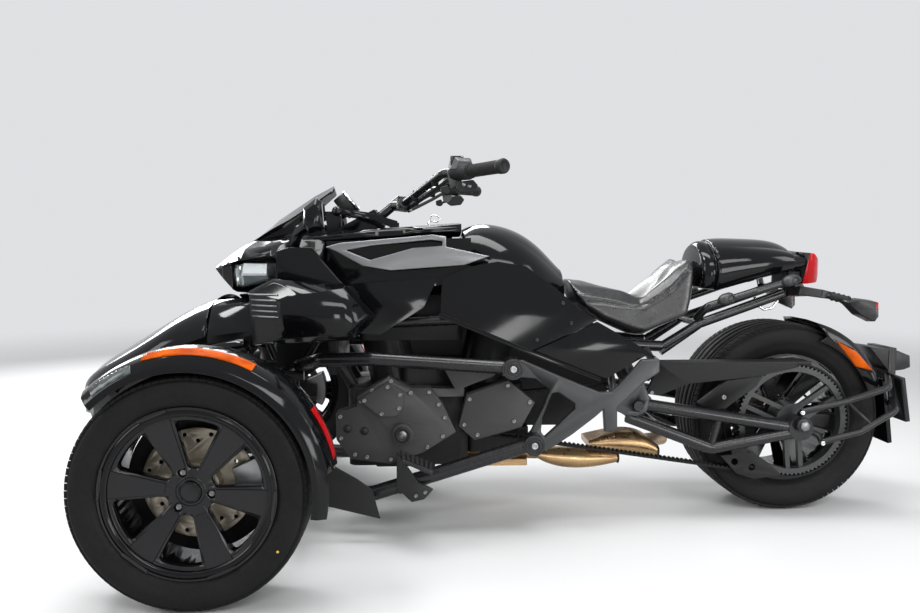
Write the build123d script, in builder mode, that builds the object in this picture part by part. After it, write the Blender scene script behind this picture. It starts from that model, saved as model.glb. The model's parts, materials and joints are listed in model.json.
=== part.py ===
"""Motorized trike: two steered wheels in front, one belt-driven wheel behind, a saddle between.

Millimetres. +X is forward, +Y is the rider's left, +Z is up.
The origin lies on the floor, on the centre plane, midway along the length."""
from build123d import *
from math import asin, atan2, cos, degrees, hypot, pi, radians, sin
import os

os.makedirs("parts", exist_ok=True)

# ---- Driving dimensions ---------------------------------------------------------------
overall_length = 2642
wheelbase = 1709
front_overhang = 503
track = 1308

front_axle_x = overall_length / 2 - front_overhang
rear_axle_x = front_axle_x - wheelbase
wheel_y = track / 2

front_tyre_r = 281
front_tyre_width = 165
front_rim_width = 127
rear_tyre_r = 303
rear_tyre_width = 225
rear_rim_width = 178
bead_seat_r = 190.5
rim_flange_r = 206
rim_flange_thickness = 8
rim_wall = 8
rim_inside_r = bead_seat_r - rim_wall
window_outer_r = 173
spoke_count = 6
spoke_start_angle = 8
hub_r = 34
cap_r = 27

running_gap = 0.3
moving_gap = 6

kingpin_y = 545
kingpin_r = 18
front_disc_r = 135
front_disc_y = wheel_y - 30
disc_thickness = 6

frame_tube_d = 40
frame_tube_y = 250
boss_r = 31
swing_tube_d = 38
swingarm_y = 180
rear_axle_r = 12.5
sprocket_r = 176
sprocket_y = 130
belt_width = 28
belt_thickness = 6
pulley_x, pulley_z, pulley_r = 50, 330, 60

front_wheel_centre = (front_axle_x, front_tyre_r)
rear_wheel_centre = (rear_axle_x, rear_tyre_r)
sides = (("left", 1), ("right", -1))


# ---- Shared operations ----------------------------------------------------------------
def export(piece, name):
    """Label the finished part and write its file."""
    piece.part.label = name
    export_step(piece.part, f"parts/{name}.step")


def tube_run(points, diameter, bend=60):
    """Sweep a round tube along straight runs joined by bends."""
    with BuildLine() as path:
        if len(points) == 2:
            Line(*points)
        else:
            FilletPolyline(*points, radius=bend)
    with BuildSketch(Plane(origin=path.line @ 0, z_dir=path.line % 0)) as ring:
        Circle(diameter / 2)
    sweep(ring.sketch, path=path.line)


def stations_loft(stations, mode=Mode.ADD):
    """Ruled loft along X. A station is (x, [bottom centre, top centre, then down the side])."""
    sections = []
    for x, (bottom, top, *flank) in stations:
        mirrored = [(-y, z) for y, z in flank[::-1]]
        with BuildSketch(Plane.YZ.offset(x)) as section:
            with BuildLine():
                Polyline(top, *flank, bottom, *mirrored, close=True)
            make_face()
        sections.append(section.sketch)
    loft(sections, ruled=True, mode=mode)


def crowned_loft(stations):
    """Smooth loft along X. Columns: x, bottom z, half width there, belly z, half width, shoulder z, half width, top z."""
    sections = []
    for x, bottom_z, bottom_y, belly_z, belly_y, shoulder_z, shoulder_y, top_z in stations:
        with BuildSketch(Plane.YZ.offset(x)) as section:
            with BuildLine():
                Line((-bottom_y, bottom_z), (bottom_y, bottom_z))
                ThreePointArc((bottom_y, bottom_z), (belly_y, belly_z), (shoulder_y, shoulder_z))
                ThreePointArc((shoulder_y, shoulder_z), (0, top_z), (-shoulder_y, shoulder_z))
                ThreePointArc((-shoulder_y, shoulder_z), (-belly_y, belly_z), (-bottom_y, bottom_z))
            make_face()
        sections.append(section.sketch)
    loft(sections)


def side_loft(stations, mode=Mode.ADD):
    """Ruled loft along X through closed one-sided profiles (x, [(y, z), ...])."""
    sections = []
    for x, profile in stations:
        with BuildSketch(Plane.YZ.offset(x)) as section:
            with BuildLine():
                Polyline(*profile, close=True)
            make_face()
        sections.append(section.sketch)
    loft(sections, ruled=True, mode=mode)


def side_plate(outline, y_inner, y_outer, mode=Mode.ADD):
    """Extrude an (x, z) outline from y_inner out to y_outer."""
    with BuildSketch(Plane.XZ.offset(-y_inner)) as profile:
        with BuildLine():
            Polyline(*outline, close=True)
        make_face()
    extrude(profile.sketch, amount=y_inner - y_outer, mode=mode)


def axle_disc(centre, radius, y_from, y_to, mode=Mode.ADD):
    """A cylinder along Y about an (x, z) centre."""
    with BuildSketch(Plane.XZ.offset(-y_from)) as profile:
        with Locations(centre):
            Circle(radius)
    extrude(profile.sketch, amount=y_from - y_to, mode=mode)


def turned(centre, y, profile, mode=Mode.ADD):
    """Revolve a closed (along axle, radius) outline about the axle through centre."""
    with BuildSketch(Plane(origin=(centre[0], y, centre[1]), x_dir=(0, 1, 0), z_dir=(1, 0, 0))) as section:
        with BuildLine():
            Polyline(*profile, close=True)
        make_face()
    revolve(section.sketch, axis=Axis((centre[0], y, centre[1]), (0, 1, 0)), mode=mode)


# Columns: share of the way out from bead to widest point, share of the way up from flange to tread.
sidewall_shape = ((0.0, 0.0), (0.62, 0.18), (0.95, 0.44), (1.0, 0.60), (0.9, 0.80), (0.62, 0.93), (0.25, 0.985))


def tyre_body(centre, y, outer_r, width, rim_width):
    """Tyre in straight bands: beads inside the rim flanges, bulged sidewalls, a nearly flat tread."""
    bead, half = rim_width / 2, width / 2
    flank = [
        (bead + out * (half - bead), rim_flange_r + up * (outer_r - rim_flange_r)) for out, up in sidewall_shape
    ]
    right = [(bead, bead_seat_r), *flank]
    turned(centre, y, right + [(0, outer_r)] + [(-across, r) for across, r in right[::-1]])


def rim_barrel(centre, y, rim_width):
    """Rim with both flanges and a dropped centre."""
    bead = rim_width / 2
    edge = bead + rim_flange_thickness
    inside = bead_seat_r - rim_wall
    turned(
        centre,
        y,
        [
            (-edge, rim_flange_r),
            (-bead, rim_flange_r),
            (-bead, bead_seat_r),
            (bead, bead_seat_r),
            (bead, rim_flange_r),
            (edge, rim_flange_r),
            (edge, inside),
            (-edge, inside),
        ],
    )


def wheel_spokes(centre, y, side, hub, rim):
    """Dished disc with rounded windows. Hub and rim are (radius, half spoke width, inner y, outer y)."""
    hub_edge, hub_half, hub_in, hub_out = hub
    rim_edge, rim_half, rim_in, rim_out = rim
    turned(
        centre,
        y,
        [
            (side * hub_in, 0),
            (side * hub_out, 0),
            (side * hub_out, hub_edge),
            (side * rim_out, rim_edge),
            (side * rim_in, rim_edge),
            (side * hub_in, hub_edge),
        ],
    )
    for index in range(spoke_count):
        middle = spoke_start_angle + (index + 0.5) * 360 / spoke_count
        half_pitch = 180 / spoke_count
        corners = []
        for radius, half_width in ((hub_edge + 24, hub_half), (window_outer_r, rim_half)):
            half_angle = half_pitch - degrees(asin(half_width / radius))
            corners.append([
                (centre[0] + radius * cos(radians(middle + lean * half_angle)),
                 centre[1] + radius * sin(radians(middle + lean * half_angle)))
                for lean in (-1, 1)
            ])
        outer_mid = (centre[0] + window_outer_r * cos(radians(middle)),
                     centre[1] + window_outer_r * sin(radians(middle)))
        with BuildSketch(Plane.XZ.offset(-y)) as window:
            with BuildLine():
                Line(corners[0][0], corners[1][0])
                ThreePointArc(corners[1][0], outer_mid, corners[1][1])
                Line(corners[1][1], corners[0][1])
                Line(corners[0][1], corners[0][0])
            make_face()
            fillet(window.vertices(), 9)
        extrude(window.sketch, amount=-side * 90, mode=Mode.SUBTRACT)


def ring_sector(centre, inner_r, outer_r, start, stop, y_from, y_to, mode=Mode.ADD):
    """A sector of a ring about the axle, from start to stop degrees above +X."""
    with BuildSketch(Plane.XZ.offset(-y_from)) as sector:
        with BuildLine():
            a, b = radians(start), radians(stop)
            m = (a + b) / 2
            inner = [(centre[0] + inner_r * cos(t), centre[1] + inner_r * sin(t)) for t in (a, m, b)]
            outer = [(centre[0] + outer_r * cos(t), centre[1] + outer_r * sin(t)) for t in (a, m, b)]
            ThreePointArc(*inner)
            Line(inner[2], outer[2])
            ThreePointArc(*reversed(outer))
            Line(outer[0], inner[0])
        make_face()
    extrude(sector.sketch, amount=y_from - y_to, mode=mode)


def arch(centre, profile, start, stop):
    """Revolve a closed (y, radius) outline about the axle from start to stop degrees above +X."""
    a = radians(start)
    plane = Plane(
        origin=(centre[0], 0, centre[1]), x_dir=(0, 1, 0), z_dir=(-sin(a), 0, cos(a))
    )
    flip = 1 if plane.y_dir.dot(Vector(cos(a), 0, sin(a))) > 0 else -1
    with BuildSketch(plane) as section:
        with BuildLine():
            Polyline(*[(y, flip * r) for y, r in profile], close=True)
        make_face()
    revolve(section.sketch, axis=Axis((centre[0], 0, centre[1]), (0, -1, 0)), revolution_arc=stop - start)


def side_to_side(stations, mode=Mode.ADD):
    """Ruled loft along Y through closed outlines (y, [(x, z), ...])."""
    sections = []
    for y, outline in stations:
        with BuildSketch(Plane.XZ.offset(-y)) as section:
            with BuildLine():
                Polyline(*outline, close=True)
            make_face()
        sections.append(section.sketch)
    loft(sections, ruled=True, mode=mode)


def rod(start, end, diameter, mode=Mode.ADD):
    """A straight round bar between two points."""
    tip, base = Vector(*end), Vector(*start)
    with BuildSketch(Plane(origin=base, z_dir=tip - base)) as ring:
        Circle(diameter / 2)
    extrude(ring.sketch, amount=(tip - base).length, mode=mode)


def block(x, y, z, radius=0, mode=Mode.ADD):
    """A box from (low, high) pairs, with its upright edges rounded."""
    with BuildSketch(Plane.XY.offset(z[0])) as base:
        with Locations(((x[0] + x[1]) / 2, (y[0] + y[1]) / 2)):
            if radius:
                RectangleRounded(x[1] - x[0], abs(y[1] - y[0]), radius)
            else:
                Rectangle(x[1] - x[0], abs(y[1] - y[0]))
    extrude(base.sketch, amount=z[1] - z[0], mode=mode)



def vent_holes(centre, y):
    """Rings of small holes through a brake disc."""
    for ring_r, shift in vent_rings:
        for index in range(12):
            angle = radians(index * 30 + shift)
            place = (centre[0] + ring_r * cos(angle), centre[1] + ring_r * sin(angle))
            axle_disc(place, vent_hole_r, y - disc_thickness, y + disc_thickness, Mode.SUBTRACT)


# ---- Front wheels: tyre, rim and brake disc -------------------------------------------
spindle_r = 17
lug_circle_r = 48
lug_angles = (68, 188, 308)
carrier_r = hub_r + 26
vent_hole_r = 5
vent_rings = ((103, 0), (122, 15))

for name, side in sides:
    y = side * wheel_y
    with BuildPart() as front_tyre:
        tyre_body(front_wheel_centre, y, front_tyre_r, front_tyre_width, front_rim_width)
    export(front_tyre, f"front_tyre_{name}")

    with BuildPart() as front_rim:
        wheel_spokes(front_wheel_centre, y, side, (hub_r, 18, 18, 42), (rim_inside_r + 2, 38, 36, 62))
        rim_barrel(front_wheel_centre, y, front_rim_width)
        axle_disc(front_wheel_centre, hub_r, y - side * 14, y + side * 44)
        axle_disc(front_wheel_centre, cap_r, y + side * 44, y + side * 50)
        for angle in lug_angles:
            lug = (
                front_axle_x + lug_circle_r * cos(radians(angle)),
                front_tyre_r + lug_circle_r * sin(radians(angle)),
            )
            axle_disc(lug, 10, y + side * 32, y + side * 60, Mode.SUBTRACT)
        axle_disc(front_wheel_centre, spindle_r + running_gap, y - side * 14, y + side * 30, Mode.SUBTRACT)
    export(front_rim, f"front_rim_{name}")

    disc_y = side * front_disc_y
    with BuildPart() as front_disc:
        axle_disc(front_wheel_centre, front_disc_r, disc_y - disc_thickness / 2, disc_y + disc_thickness / 2)
        axle_disc(front_wheel_centre, carrier_r, disc_y + side * 3, y + side * 16)
        axle_disc(front_wheel_centre, hub_r, disc_y - side * 10, y + side * 17, Mode.SUBTRACT)
        vent_holes(front_wheel_centre, disc_y)
    export(front_disc, f"front_brake_disc_{name}")

# ---- Rear wheel: tyre, rim, sprocket and brake disc -----------------------------------
rear_disc_y = -122

with BuildPart() as rear_tyre:
    tyre_body(rear_wheel_centre, 0, rear_tyre_r, rear_tyre_width, rear_rim_width)
export(rear_tyre, "rear_tyre")

with BuildPart() as rear_rim:
    wheel_spokes(rear_wheel_centre, 0, 1, (hub_r, 18, 12, 44), (rim_inside_r + 2, 30, 40, 76))
    rim_barrel(rear_wheel_centre, 0, rear_rim_width)
    axle_disc(rear_wheel_centre, hub_r, -70, 70)
    axle_disc(rear_wheel_centre, rear_axle_r + running_gap, -80, 80, Mode.SUBTRACT)
export(rear_rim, "rear_rim")

sprocket_teeth = 79
tooth_height = 7
sprocket_root_r = sprocket_r - 5
sprocket_rim = 16
with BuildPart() as sprocket:
    axle_disc(rear_wheel_centre, sprocket_root_r, sprocket_y - 13, sprocket_y + 13)
    axle_disc(rear_wheel_centre, sprocket_root_r - sprocket_rim, sprocket_y - 13, sprocket_y + 13, Mode.SUBTRACT)
    with BuildSketch(Plane.XZ.offset(-(sprocket_y - 8))) as arms:
        for angle in (35, 155, 275):
            with Locations(Location((rear_axle_x, rear_tyre_r), 180 - angle)):
                with Locations((98, 21), (98, -21)):
                    Rectangle(140, 14)
    extrude(arms.sketch, amount=-16)
    axle_disc(rear_wheel_centre, 52, 70, sprocket_y + 10)
    axle_disc(rear_wheel_centre, rear_axle_r + running_gap, 60, sprocket_y + 30, Mode.SUBTRACT)
    with BuildSketch(Plane.XZ.offset(-(sprocket_y - 13))) as teeth:
        with Locations((rear_axle_x, rear_tyre_r)):
            with PolarLocations(sprocket_r - tooth_height / 2, sprocket_teeth):
                Rectangle(tooth_height, tooth_height)
    extrude(teeth.sketch, amount=-26)
export(sprocket, "rear_sprocket")

with BuildPart() as rear_disc:
    axle_disc(rear_wheel_centre, front_disc_r, rear_disc_y - 3, rear_disc_y + 3)
    axle_disc(rear_wheel_centre, carrier_r, rear_disc_y, -70)
    axle_disc(rear_wheel_centre, rear_axle_r + running_gap, rear_disc_y - 20, -60, Mode.SUBTRACT)
    vent_holes(rear_wheel_centre, rear_disc_y)
export(rear_disc, "rear_brake_disc")

# ---- Knuckles, fenders and fender lamps: they steer with the front wheels --------------
upper_ball_z = 470
lower_ball_z = 150
ball_height = 30
stay_reach = 70
steer_arm_length = 110
steer_arm_z = 238
stay_y = 552

fender_inner_r = front_tyre_r + 15
fender_crown_r = 339
fender_front_angle = 45
fender_rear_angle = 172
lip_rear_angle = 191
fender_inner_y = 566
fender_outer_y = 748
fender_wall = 7
lens_depth = 3

for name, side in sides:
    knuckle_x = front_axle_x
    lip = [
        (side * (fender_outer_y - 20), fender_crown_r - 14),
        (side * (fender_outer_y - 3), fender_inner_r + 8),
        (side * fender_outer_y, fender_inner_r - 8),
        (side * (fender_outer_y - fender_wall), fender_inner_r - 8),
        (side * (fender_outer_y - fender_wall - 3), fender_inner_r + 4),
        (side * (fender_outer_y - 26), fender_crown_r - 22),
    ]
    crown = [
        (side * (fender_outer_y - 52), fender_crown_r - 10),
        (side * (wheel_y - 10), fender_crown_r - fender_wall),
        (side * (fender_inner_y + 28), fender_crown_r - 15),
        (side * (fender_inner_y + fender_wall), fender_inner_r + 18),
        (side * (fender_inner_y + fender_wall), fender_inner_r),
        (side * fender_inner_y, fender_inner_r),
        (side * fender_inner_y, fender_inner_r + 22),
        (side * (fender_inner_y + 24), fender_crown_r - 8),
        (side * (wheel_y - 10), fender_crown_r),
        (side * (fender_outer_y - 48), fender_crown_r - 3),
    ]
    with BuildPart() as fender:
        arch(front_wheel_centre, lip + crown, fender_front_angle, fender_rear_angle)
        arch(front_wheel_centre, lip, fender_rear_angle - 1, lip_rear_angle)
    export(fender, f"front_fender_{name}")

    # Columns: inner y, its radius, outer y, its radius, start angle, stop angle. Each lens lies on the fender.
    with BuildPart() as lamps:
        for y_in, r_in, y_out, r_out, start, stop in (
            (fender_outer_y - 48, fender_crown_r - 3, fender_outer_y - 20, fender_crown_r - 14, 73.5, 118),
            (fender_outer_y - 18, fender_crown_r - 16, fender_outer_y - 5, fender_inner_r + 11, 50, 69),
            (fender_outer_y - 96, fender_crown_r - 0.43, fender_outer_y - 58, fender_crown_r - 2.46, 146, 168),
        ):
            arch(
                front_wheel_centre,
                [
                    (side * y_in, r_in),
                    (side * y_out, r_out),
                    (side * (y_out + lens_depth / 2), r_out + lens_depth),
                    (side * (y_in + lens_depth / 2), r_in + lens_depth),
                ],
                start,
                stop,
            )
        add(fender.part, mode=Mode.SUBTRACT)
    export(lamps, f"fender_lamps_{name}")

    with BuildPart() as knuckle:
        upright_z = (lower_ball_z + ball_height / 2 + 2, upper_ball_z - ball_height / 2 - 2)
        block((knuckle_x - 28, knuckle_x + 28), (side * (kingpin_y - 17), side * (kingpin_y + 17)), upright_z, 8)
        axle_disc(front_wheel_centre, 42, side * (kingpin_y + 10), side * (kingpin_y + 48))
        axle_disc(front_wheel_centre, spindle_r, side * kingpin_y, side * (wheel_y + 28))
        side_plate(
            [
                (knuckle_x - steer_arm_length - 16, steer_arm_z - 8),
                (knuckle_x, steer_arm_z - 16),
                (knuckle_x, steer_arm_z + 16),
                (knuckle_x - steer_arm_length - 16, steer_arm_z + 8),
            ],
            side * (kingpin_y - 16),
            side * (kingpin_y + 10),
        )
        side_plate(
            [
                (knuckle_x - 124, front_tyre_r - 24),
                (knuckle_x, front_tyre_r - 36),
                (knuckle_x, front_tyre_r + 36),
                (knuckle_x - 124, front_tyre_r + 24),
            ],
            side * (kingpin_y + 28),
            side * (kingpin_y + 45),
        )
        for lean in (-1, 1):
            side_plate(
                [
                    (knuckle_x + lean * 18, 395),
                    (knuckle_x + lean * 18, 430),
                    (knuckle_x + lean * stay_reach, 505),
                    (knuckle_x + lean * (stay_reach + 20), 583),
                    (knuckle_x + lean * (stay_reach + 50), 572),
                    (knuckle_x + lean * (stay_reach + 24), 486),
                ],
                side * (kingpin_y + 4),
                side * fender_inner_y,
            )
    export(knuckle, f"knuckle_{name}")

    with BuildPart() as caliper:
        disc_y = side * front_disc_y
        ring_sector(front_wheel_centre, 92, 158, 155, 205, side * (kingpin_y + 45), disc_y + side * 26)
        axle_disc(front_wheel_centre, front_disc_r + moving_gap, disc_y - 9, disc_y + 9, Mode.SUBTRACT)
    export(caliper, f"front_caliper_{name}")

# ---- Front suspension: subframe with the rack housing, arms, shocks and tie rods --------
subframe_x = (650, 1000)
upper_arm_reach, upper_arm_y, upper_arm_z = 110, 165, 455
lower_arm_reach, lower_arm_y, lower_arm_z = 150, 150, 165
arm_tube_d = 26
rack_x = front_axle_x - steer_arm_length
rack_z = steer_arm_z - 28
rack_rod_d = 18
shock_foot = (front_axle_x, 420, 186)
shock_head = (front_axle_x, 215, 540)

with BuildPart() as front_subframe:
    for x in (front_axle_x - lower_arm_reach, front_axle_x + lower_arm_reach):
        rod((x, -lower_arm_y + 8, lower_arm_z), (x, lower_arm_y - 8, lower_arm_z), 34)
    for x in (front_axle_x - upper_arm_reach, front_axle_x + upper_arm_reach):
        rod((x, -upper_arm_y + 8, upper_arm_z), (x, upper_arm_y - 8, upper_arm_z), 34)
    for side in (-1, 1):
        y = side * 118
        rod((subframe_x[0] - 12, y, lower_arm_z), (subframe_x[1], y, lower_arm_z), 30)
        rod((subframe_x[0] - 12, y, upper_arm_z), (subframe_x[1] - 40, y, upper_arm_z), 30)
        rod((subframe_x[0] + 26, y, lower_arm_z), (subframe_x[0] + 60, y, upper_arm_z), 26)
        rod((subframe_x[1] - 30, y, lower_arm_z), (subframe_x[1] - 70, y, upper_arm_z), 26)
        rod((front_axle_x - 60, y, upper_arm_z), (front_axle_x, side * 190, 556), 26)
        rod((front_axle_x + 60, y, upper_arm_z), (front_axle_x, side * 190, 556), 26)
        block((front_axle_x - 32, front_axle_x + 32), (side * 170, side * 240), (548, 566), 6)
    rod((front_axle_x, -200, 557), (front_axle_x, 200, 557), 16)
    rod((rack_x, -150, rack_z), (rack_x, 150, rack_z), 44)
    for side in (-1, 1):
        block((rack_x - 12, rack_x + 12), (side * 106, side * 130), (lower_arm_z, rack_z))
    rod((rack_x, -170, rack_z), (rack_x, 170, rack_z), rack_rod_d + 6, Mode.SUBTRACT)
export(front_subframe, "front_subframe")

with BuildPart() as arms:
    for side in (-1, 1):
        for reach, y_in, z_in, z_ball in (
            (upper_arm_reach, upper_arm_y, upper_arm_z, upper_ball_z),
            (lower_arm_reach, lower_arm_y, lower_arm_z, lower_ball_z),
        ):
            ball = (front_axle_x, side * kingpin_y, z_ball)
            for lean in (-1, 1):
                rod((front_axle_x + lean * reach, side * (y_in + 2), z_in), ball, arm_tube_d)
            block((front_axle_x - 20, front_axle_x + 20), (side * (kingpin_y - 20), side * (kingpin_y + 18)),
                  (z_ball - ball_height / 2, z_ball + ball_height / 2), 14)
        block((front_axle_x - 84, front_axle_x + 84), (side * 385, side * 400), (148, 166))
        block((front_axle_x - 14, front_axle_x + 14), (side * 385, side * 440), (148, 172))
    add(front_subframe.part, mode=Mode.SUBTRACT)
export(arms, "suspension_arms")

with BuildPart() as tie_rods:
    rod((rack_x, -kingpin_y + 10, rack_z), (rack_x, kingpin_y - 10, rack_z), rack_rod_d)
    for side in (-1, 1):
        block((rack_x - 16, rack_x + 16), (side * (kingpin_y - 20), side * (kingpin_y + 8)),
              (rack_z - 8, steer_arm_z - 17), 13)
export(tie_rods, "tie_rods")

# ---- Main frame, pivot plates, rear frame -----------------------------------------------
stem_axis = Vector(-0.768, 0, 0.640)
stem_base = Vector(377, 0, 970)
stem_d = 30
head_tube_d = 54
plate_y = (205, 229)
upper_tube_end = (12, 495)
lower_tube_end = (-52, 268)
swing_pivot = (-374, 372)
pivot_shaft_r = 15

with BuildPart() as main_frame:
    for side in (-1, 1):
        y = side * frame_tube_y
        tube_run([(652, side * 118, 455 + 32), (575, side * 235, 521), (425, y, 524), (*upper_tube_end[:1], y, 495)],
                 frame_tube_d, 45)
        tube_run([(625, side * 118, lower_arm_z - 6), (545, side * 235, 122), (424, y, 124),
                  (lower_tube_end[0], y, lower_tube_end[1])], frame_tube_d + 4, 45)
        axle_disc(upper_tube_end, boss_r, side * plate_y[1], side * (frame_tube_y + 30))
        axle_disc(lower_tube_end, boss_r, side * plate_y[1], side * (frame_tube_y + 30))
        tube_run([(645, side * 130, 480), (560, side * 140, 612), (150, side * 150, 630), (-300, side * 120, 548),
                  (-478, side * 96, 536)], 34, 60)
        rod((560, side * 136, 612), (598, 0, 786), 26)
    for x, z, reach in ((560, 612, 140), (150, 630, 150), (-300, 548, 120)):
        rod((x, -reach, z), (x, reach, z), 26)
    rod((652, -118, 487), (652, 118, 487), 30)
    rod((625, -118, 159), (625, 118, 159), 30)
    rod((600, 0, 784), (*(stem_base - stem_axis * 34),), head_tube_d)
    rod((560, 0, 612), (598, 0, 786), 30)
    add(front_subframe.part, mode=Mode.SUBTRACT)
    rod((*(stem_base - stem_axis * 240),), (*(stem_base + stem_axis * 5),), stem_d + 8, Mode.SUBTRACT)
export(main_frame, "main_frame")

with BuildPart() as pivot_plates:
    for side in (-1, 1):
        side_plate(
            [(44, 505), (-21, 515), (-134, 465), (-255, 415), (-293, 415), (-330, 452), (-382, 512), (-435, 515),
             (-436, 474), (-391, 444), (-309, 369), (-310, 300), (-272, 293), (-267, 362), (-241, 339), (-173, 287),
             (-100, 240), (-52, 234), (-16, 262), (-50, 300), (-90, 380), (-104, 425), (-60, 458), (40, 466)],
            side * plate_y[0],
            side * plate_y[1],
        )
        side_plate([(-110, 415), (-131, 416), (-180, 382), (-180, 363), (-90, 280), (-79, 296), (-82, 341)],
                   side * (plate_y[0] - 5), side * (plate_y[1] + 5), Mode.SUBTRACT)
        side_plate([(-300, 360), (-320, 450), (-391, 444), (-411, 392), (-404, 354), (-374, 338), (-335, 342)],
                   side * plate_y[0], side * (plate_y[0] + 12))
        rod((-300, side * 206, 410), (-300, side * 122, 540), 24)
        rod((-425, side * 206, 495), (-425, side * 104, 534), 22)
        axle_disc(swing_pivot, pivot_shaft_r, side * (plate_y[0] - 5), side * (plate_y[1] + 5), Mode.SUBTRACT)
    add(main_frame.part, mode=Mode.SUBTRACT)
export(pivot_plates, "pivot_plates")

with BuildPart() as tail_frame:
    for side in (-1, 1):
        tube_run([(-484, side * 96, 536), (-600, side * 92, 606), (-935, side * 84, 722)], 30, 60)
        rod((-476, side * 98, 516), (-600, side * 92, 600), 22)
        tube_run([(-592, side * 92, 622), (-612, side * 132, 664), (-760, side * 145, 712), (-895, side * 140, 752)],
                 24, 18)
        rod((-895, side * 142, 750), (-880, side * 90, 716), 22)
    for x, z in ((-600, 606), (-930, 720)):
        rod((x, -90, z), (x, 90, z), 22)
    add(main_frame.part, mode=Mode.SUBTRACT)
    add(pivot_plates.part, mode=Mode.SUBTRACT)
export(tail_frame, "tail_frame")

# ---- Swingarm, belt drive, guards, caliper ----------------------------------------------
with BuildPart() as swingarm:
    for side in (-1, 1):
        y = side * swingarm_y
        tube_run([(-374, y, 372), (-886, y, 288)], swing_tube_d)
        tube_run([(-352, y, 330), (-616, y, 228), (-880, y, 276)], swing_tube_d, 60)
        rod((-616, y, 232), (-640, y, 326), 22)
        rod((-352, y, 330), (-374, y, 372), 30)
        axle_disc(swing_pivot, 26, side * 158, side * plate_y[0])
        axle_disc((rear_axle_x, 290), 38, side * 160, side * 200)
        axle_disc((rear_axle_x, rear_tyre_r), 19, side * 200, side * 214)
    rod((-440, -180, 300), (-440, 180, 300), 34)
    axle_disc(rear_wheel_centre, rear_axle_r, -216, 216)
    axle_disc(swing_pivot, pivot_shaft_r, -plate_y[1], plate_y[1])
    add(pivot_plates.part, mode=Mode.SUBTRACT)
export(swingarm, "swingarm")

belt_inner_sprocket = sprocket_r + 2
belt_inner_pulley = pulley_r
belt_y = (sprocket_y - belt_width / 2, sprocket_y + belt_width / 2)


def belt_loop(radius_rear, radius_front, y_from, y_to, mode=Mode.ADD):
    """Solid outline of a belt round the sprocket and the output pulley."""
    dx, dz = pulley_x - rear_axle_x, pulley_z - rear_tyre_r
    lean = atan2(dz, dx)
    spread = asin((radius_rear - radius_front) / hypot(dx, dz))
    upper, lower = lean + pi / 2 - spread, lean - pi / 2 + spread
    points = [
        [(cx + r * cos(t), cz + r * sin(t)) for t in (upper, lower)]
        for cx, cz, r in ((rear_axle_x, rear_tyre_r, radius_rear), (pulley_x, pulley_z, radius_front))
    ]
    rear_mid = (rear_axle_x - radius_rear * cos(lean), rear_tyre_r - radius_rear * sin(lean))
    front_mid = (pulley_x + radius_front * cos(lean), pulley_z + radius_front * sin(lean))
    with BuildSketch(Plane.XZ.offset(-y_from)) as loop:
        with BuildLine():
            ThreePointArc(points[0][1], rear_mid, points[0][0])
            Line(points[0][0], points[1][0])
            ThreePointArc(points[1][0], front_mid, points[1][1])
            Line(points[1][1], points[0][1])
        make_face()
    extrude(loop.sketch, amount=y_from - y_to, mode=mode)


with BuildPart() as drive_belt:
    belt_loop(belt_inner_sprocket + belt_thickness, belt_inner_pulley + belt_thickness, *belt_y)
    belt_loop(belt_inner_sprocket, belt_inner_pulley, belt_y[0] - 5, belt_y[1] + 5, Mode.SUBTRACT)
export(drive_belt, "drive_belt")

guard_y = (168, 182)
guard_top = 492
with BuildPart() as belt_guard:
    side_plate(
        [(-451, guard_top), (-882, guard_top), (-882, 478), (-757, 451), (-538, 430), (-453, 396), (-410, 404)],
        *guard_y,
    )
    block((-925, -449), (120, guard_y[1]), (guard_top - 4, guard_top + 4))
    side_plate([(-660, 438), (-773, 452), (-755, 420), (-690, 375), (-660, 352), (-610, 345), (-571, 371)], 168, 180)
    side_plate([(-655, 198), (-757, 208), (-799, 180), (-851, 135), (-766, 122), (-708, 140)], 156, 162)
    side_plate([(-690, 200), (-740, 206), (-740, 250), (-690, 250)], 156, 163)
    for hole in ((-700, 178), (-756, 160)):
        axle_disc(hole, 11, 150, 170, Mode.SUBTRACT)
    add(swingarm.part, mode=Mode.SUBTRACT)
export(belt_guard, "belt_guard")

with BuildPart() as rear_caliper:
    ring_sector(rear_wheel_centre, 92, 158, 20, 62, rear_disc_y + 24, rear_disc_y - 38)
    axle_disc(rear_wheel_centre, front_disc_r + moving_gap, rear_disc_y - 9, rear_disc_y + 9, Mode.SUBTRACT)
    side_plate([(-860, 300), (-790, 290), (-760, 350), (-800, 400), (-860, 330)], rear_disc_y - 30, rear_disc_y - 50)
    add(swingarm.part, mode=Mode.SUBTRACT)
export(rear_caliper, "rear_caliper")

# Columns: foot, head, body diameter, seat diameter.
shock_runs = (
    (Vector(shock_foot[0], shock_foot[1], shock_foot[2]), Vector(*shock_head), 58, 68),
    (Vector(shock_foot[0], -shock_foot[1], shock_foot[2]), Vector(shock_head[0], -shock_head[1], shock_head[2]), 58, 68),
    (Vector(-446, 60, 322), Vector(-330, 60, 534), 60, 66),
)
with BuildPart() as shocks:
    for foot, top, coil_d, perch_d in shock_runs:
        length = (top - foot).length
        run = (top - foot).normalized()
        rod((*foot,), (*top,), 20)
        rod((*(foot + run * 34),), (*(foot + run * (length - 44)),), coil_d)
        rod((*(foot + run * 20),), (*(foot + run * 34),), perch_d)
        rod((*(foot + run * (length - 44)),), (*(foot + run * (length - 24)),), perch_d)
    for neighbour in (front_subframe, arms, main_frame, pivot_plates, swingarm):
        add(neighbour.part, mode=Mode.SUBTRACT)
export(shocks, "shocks")

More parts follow.
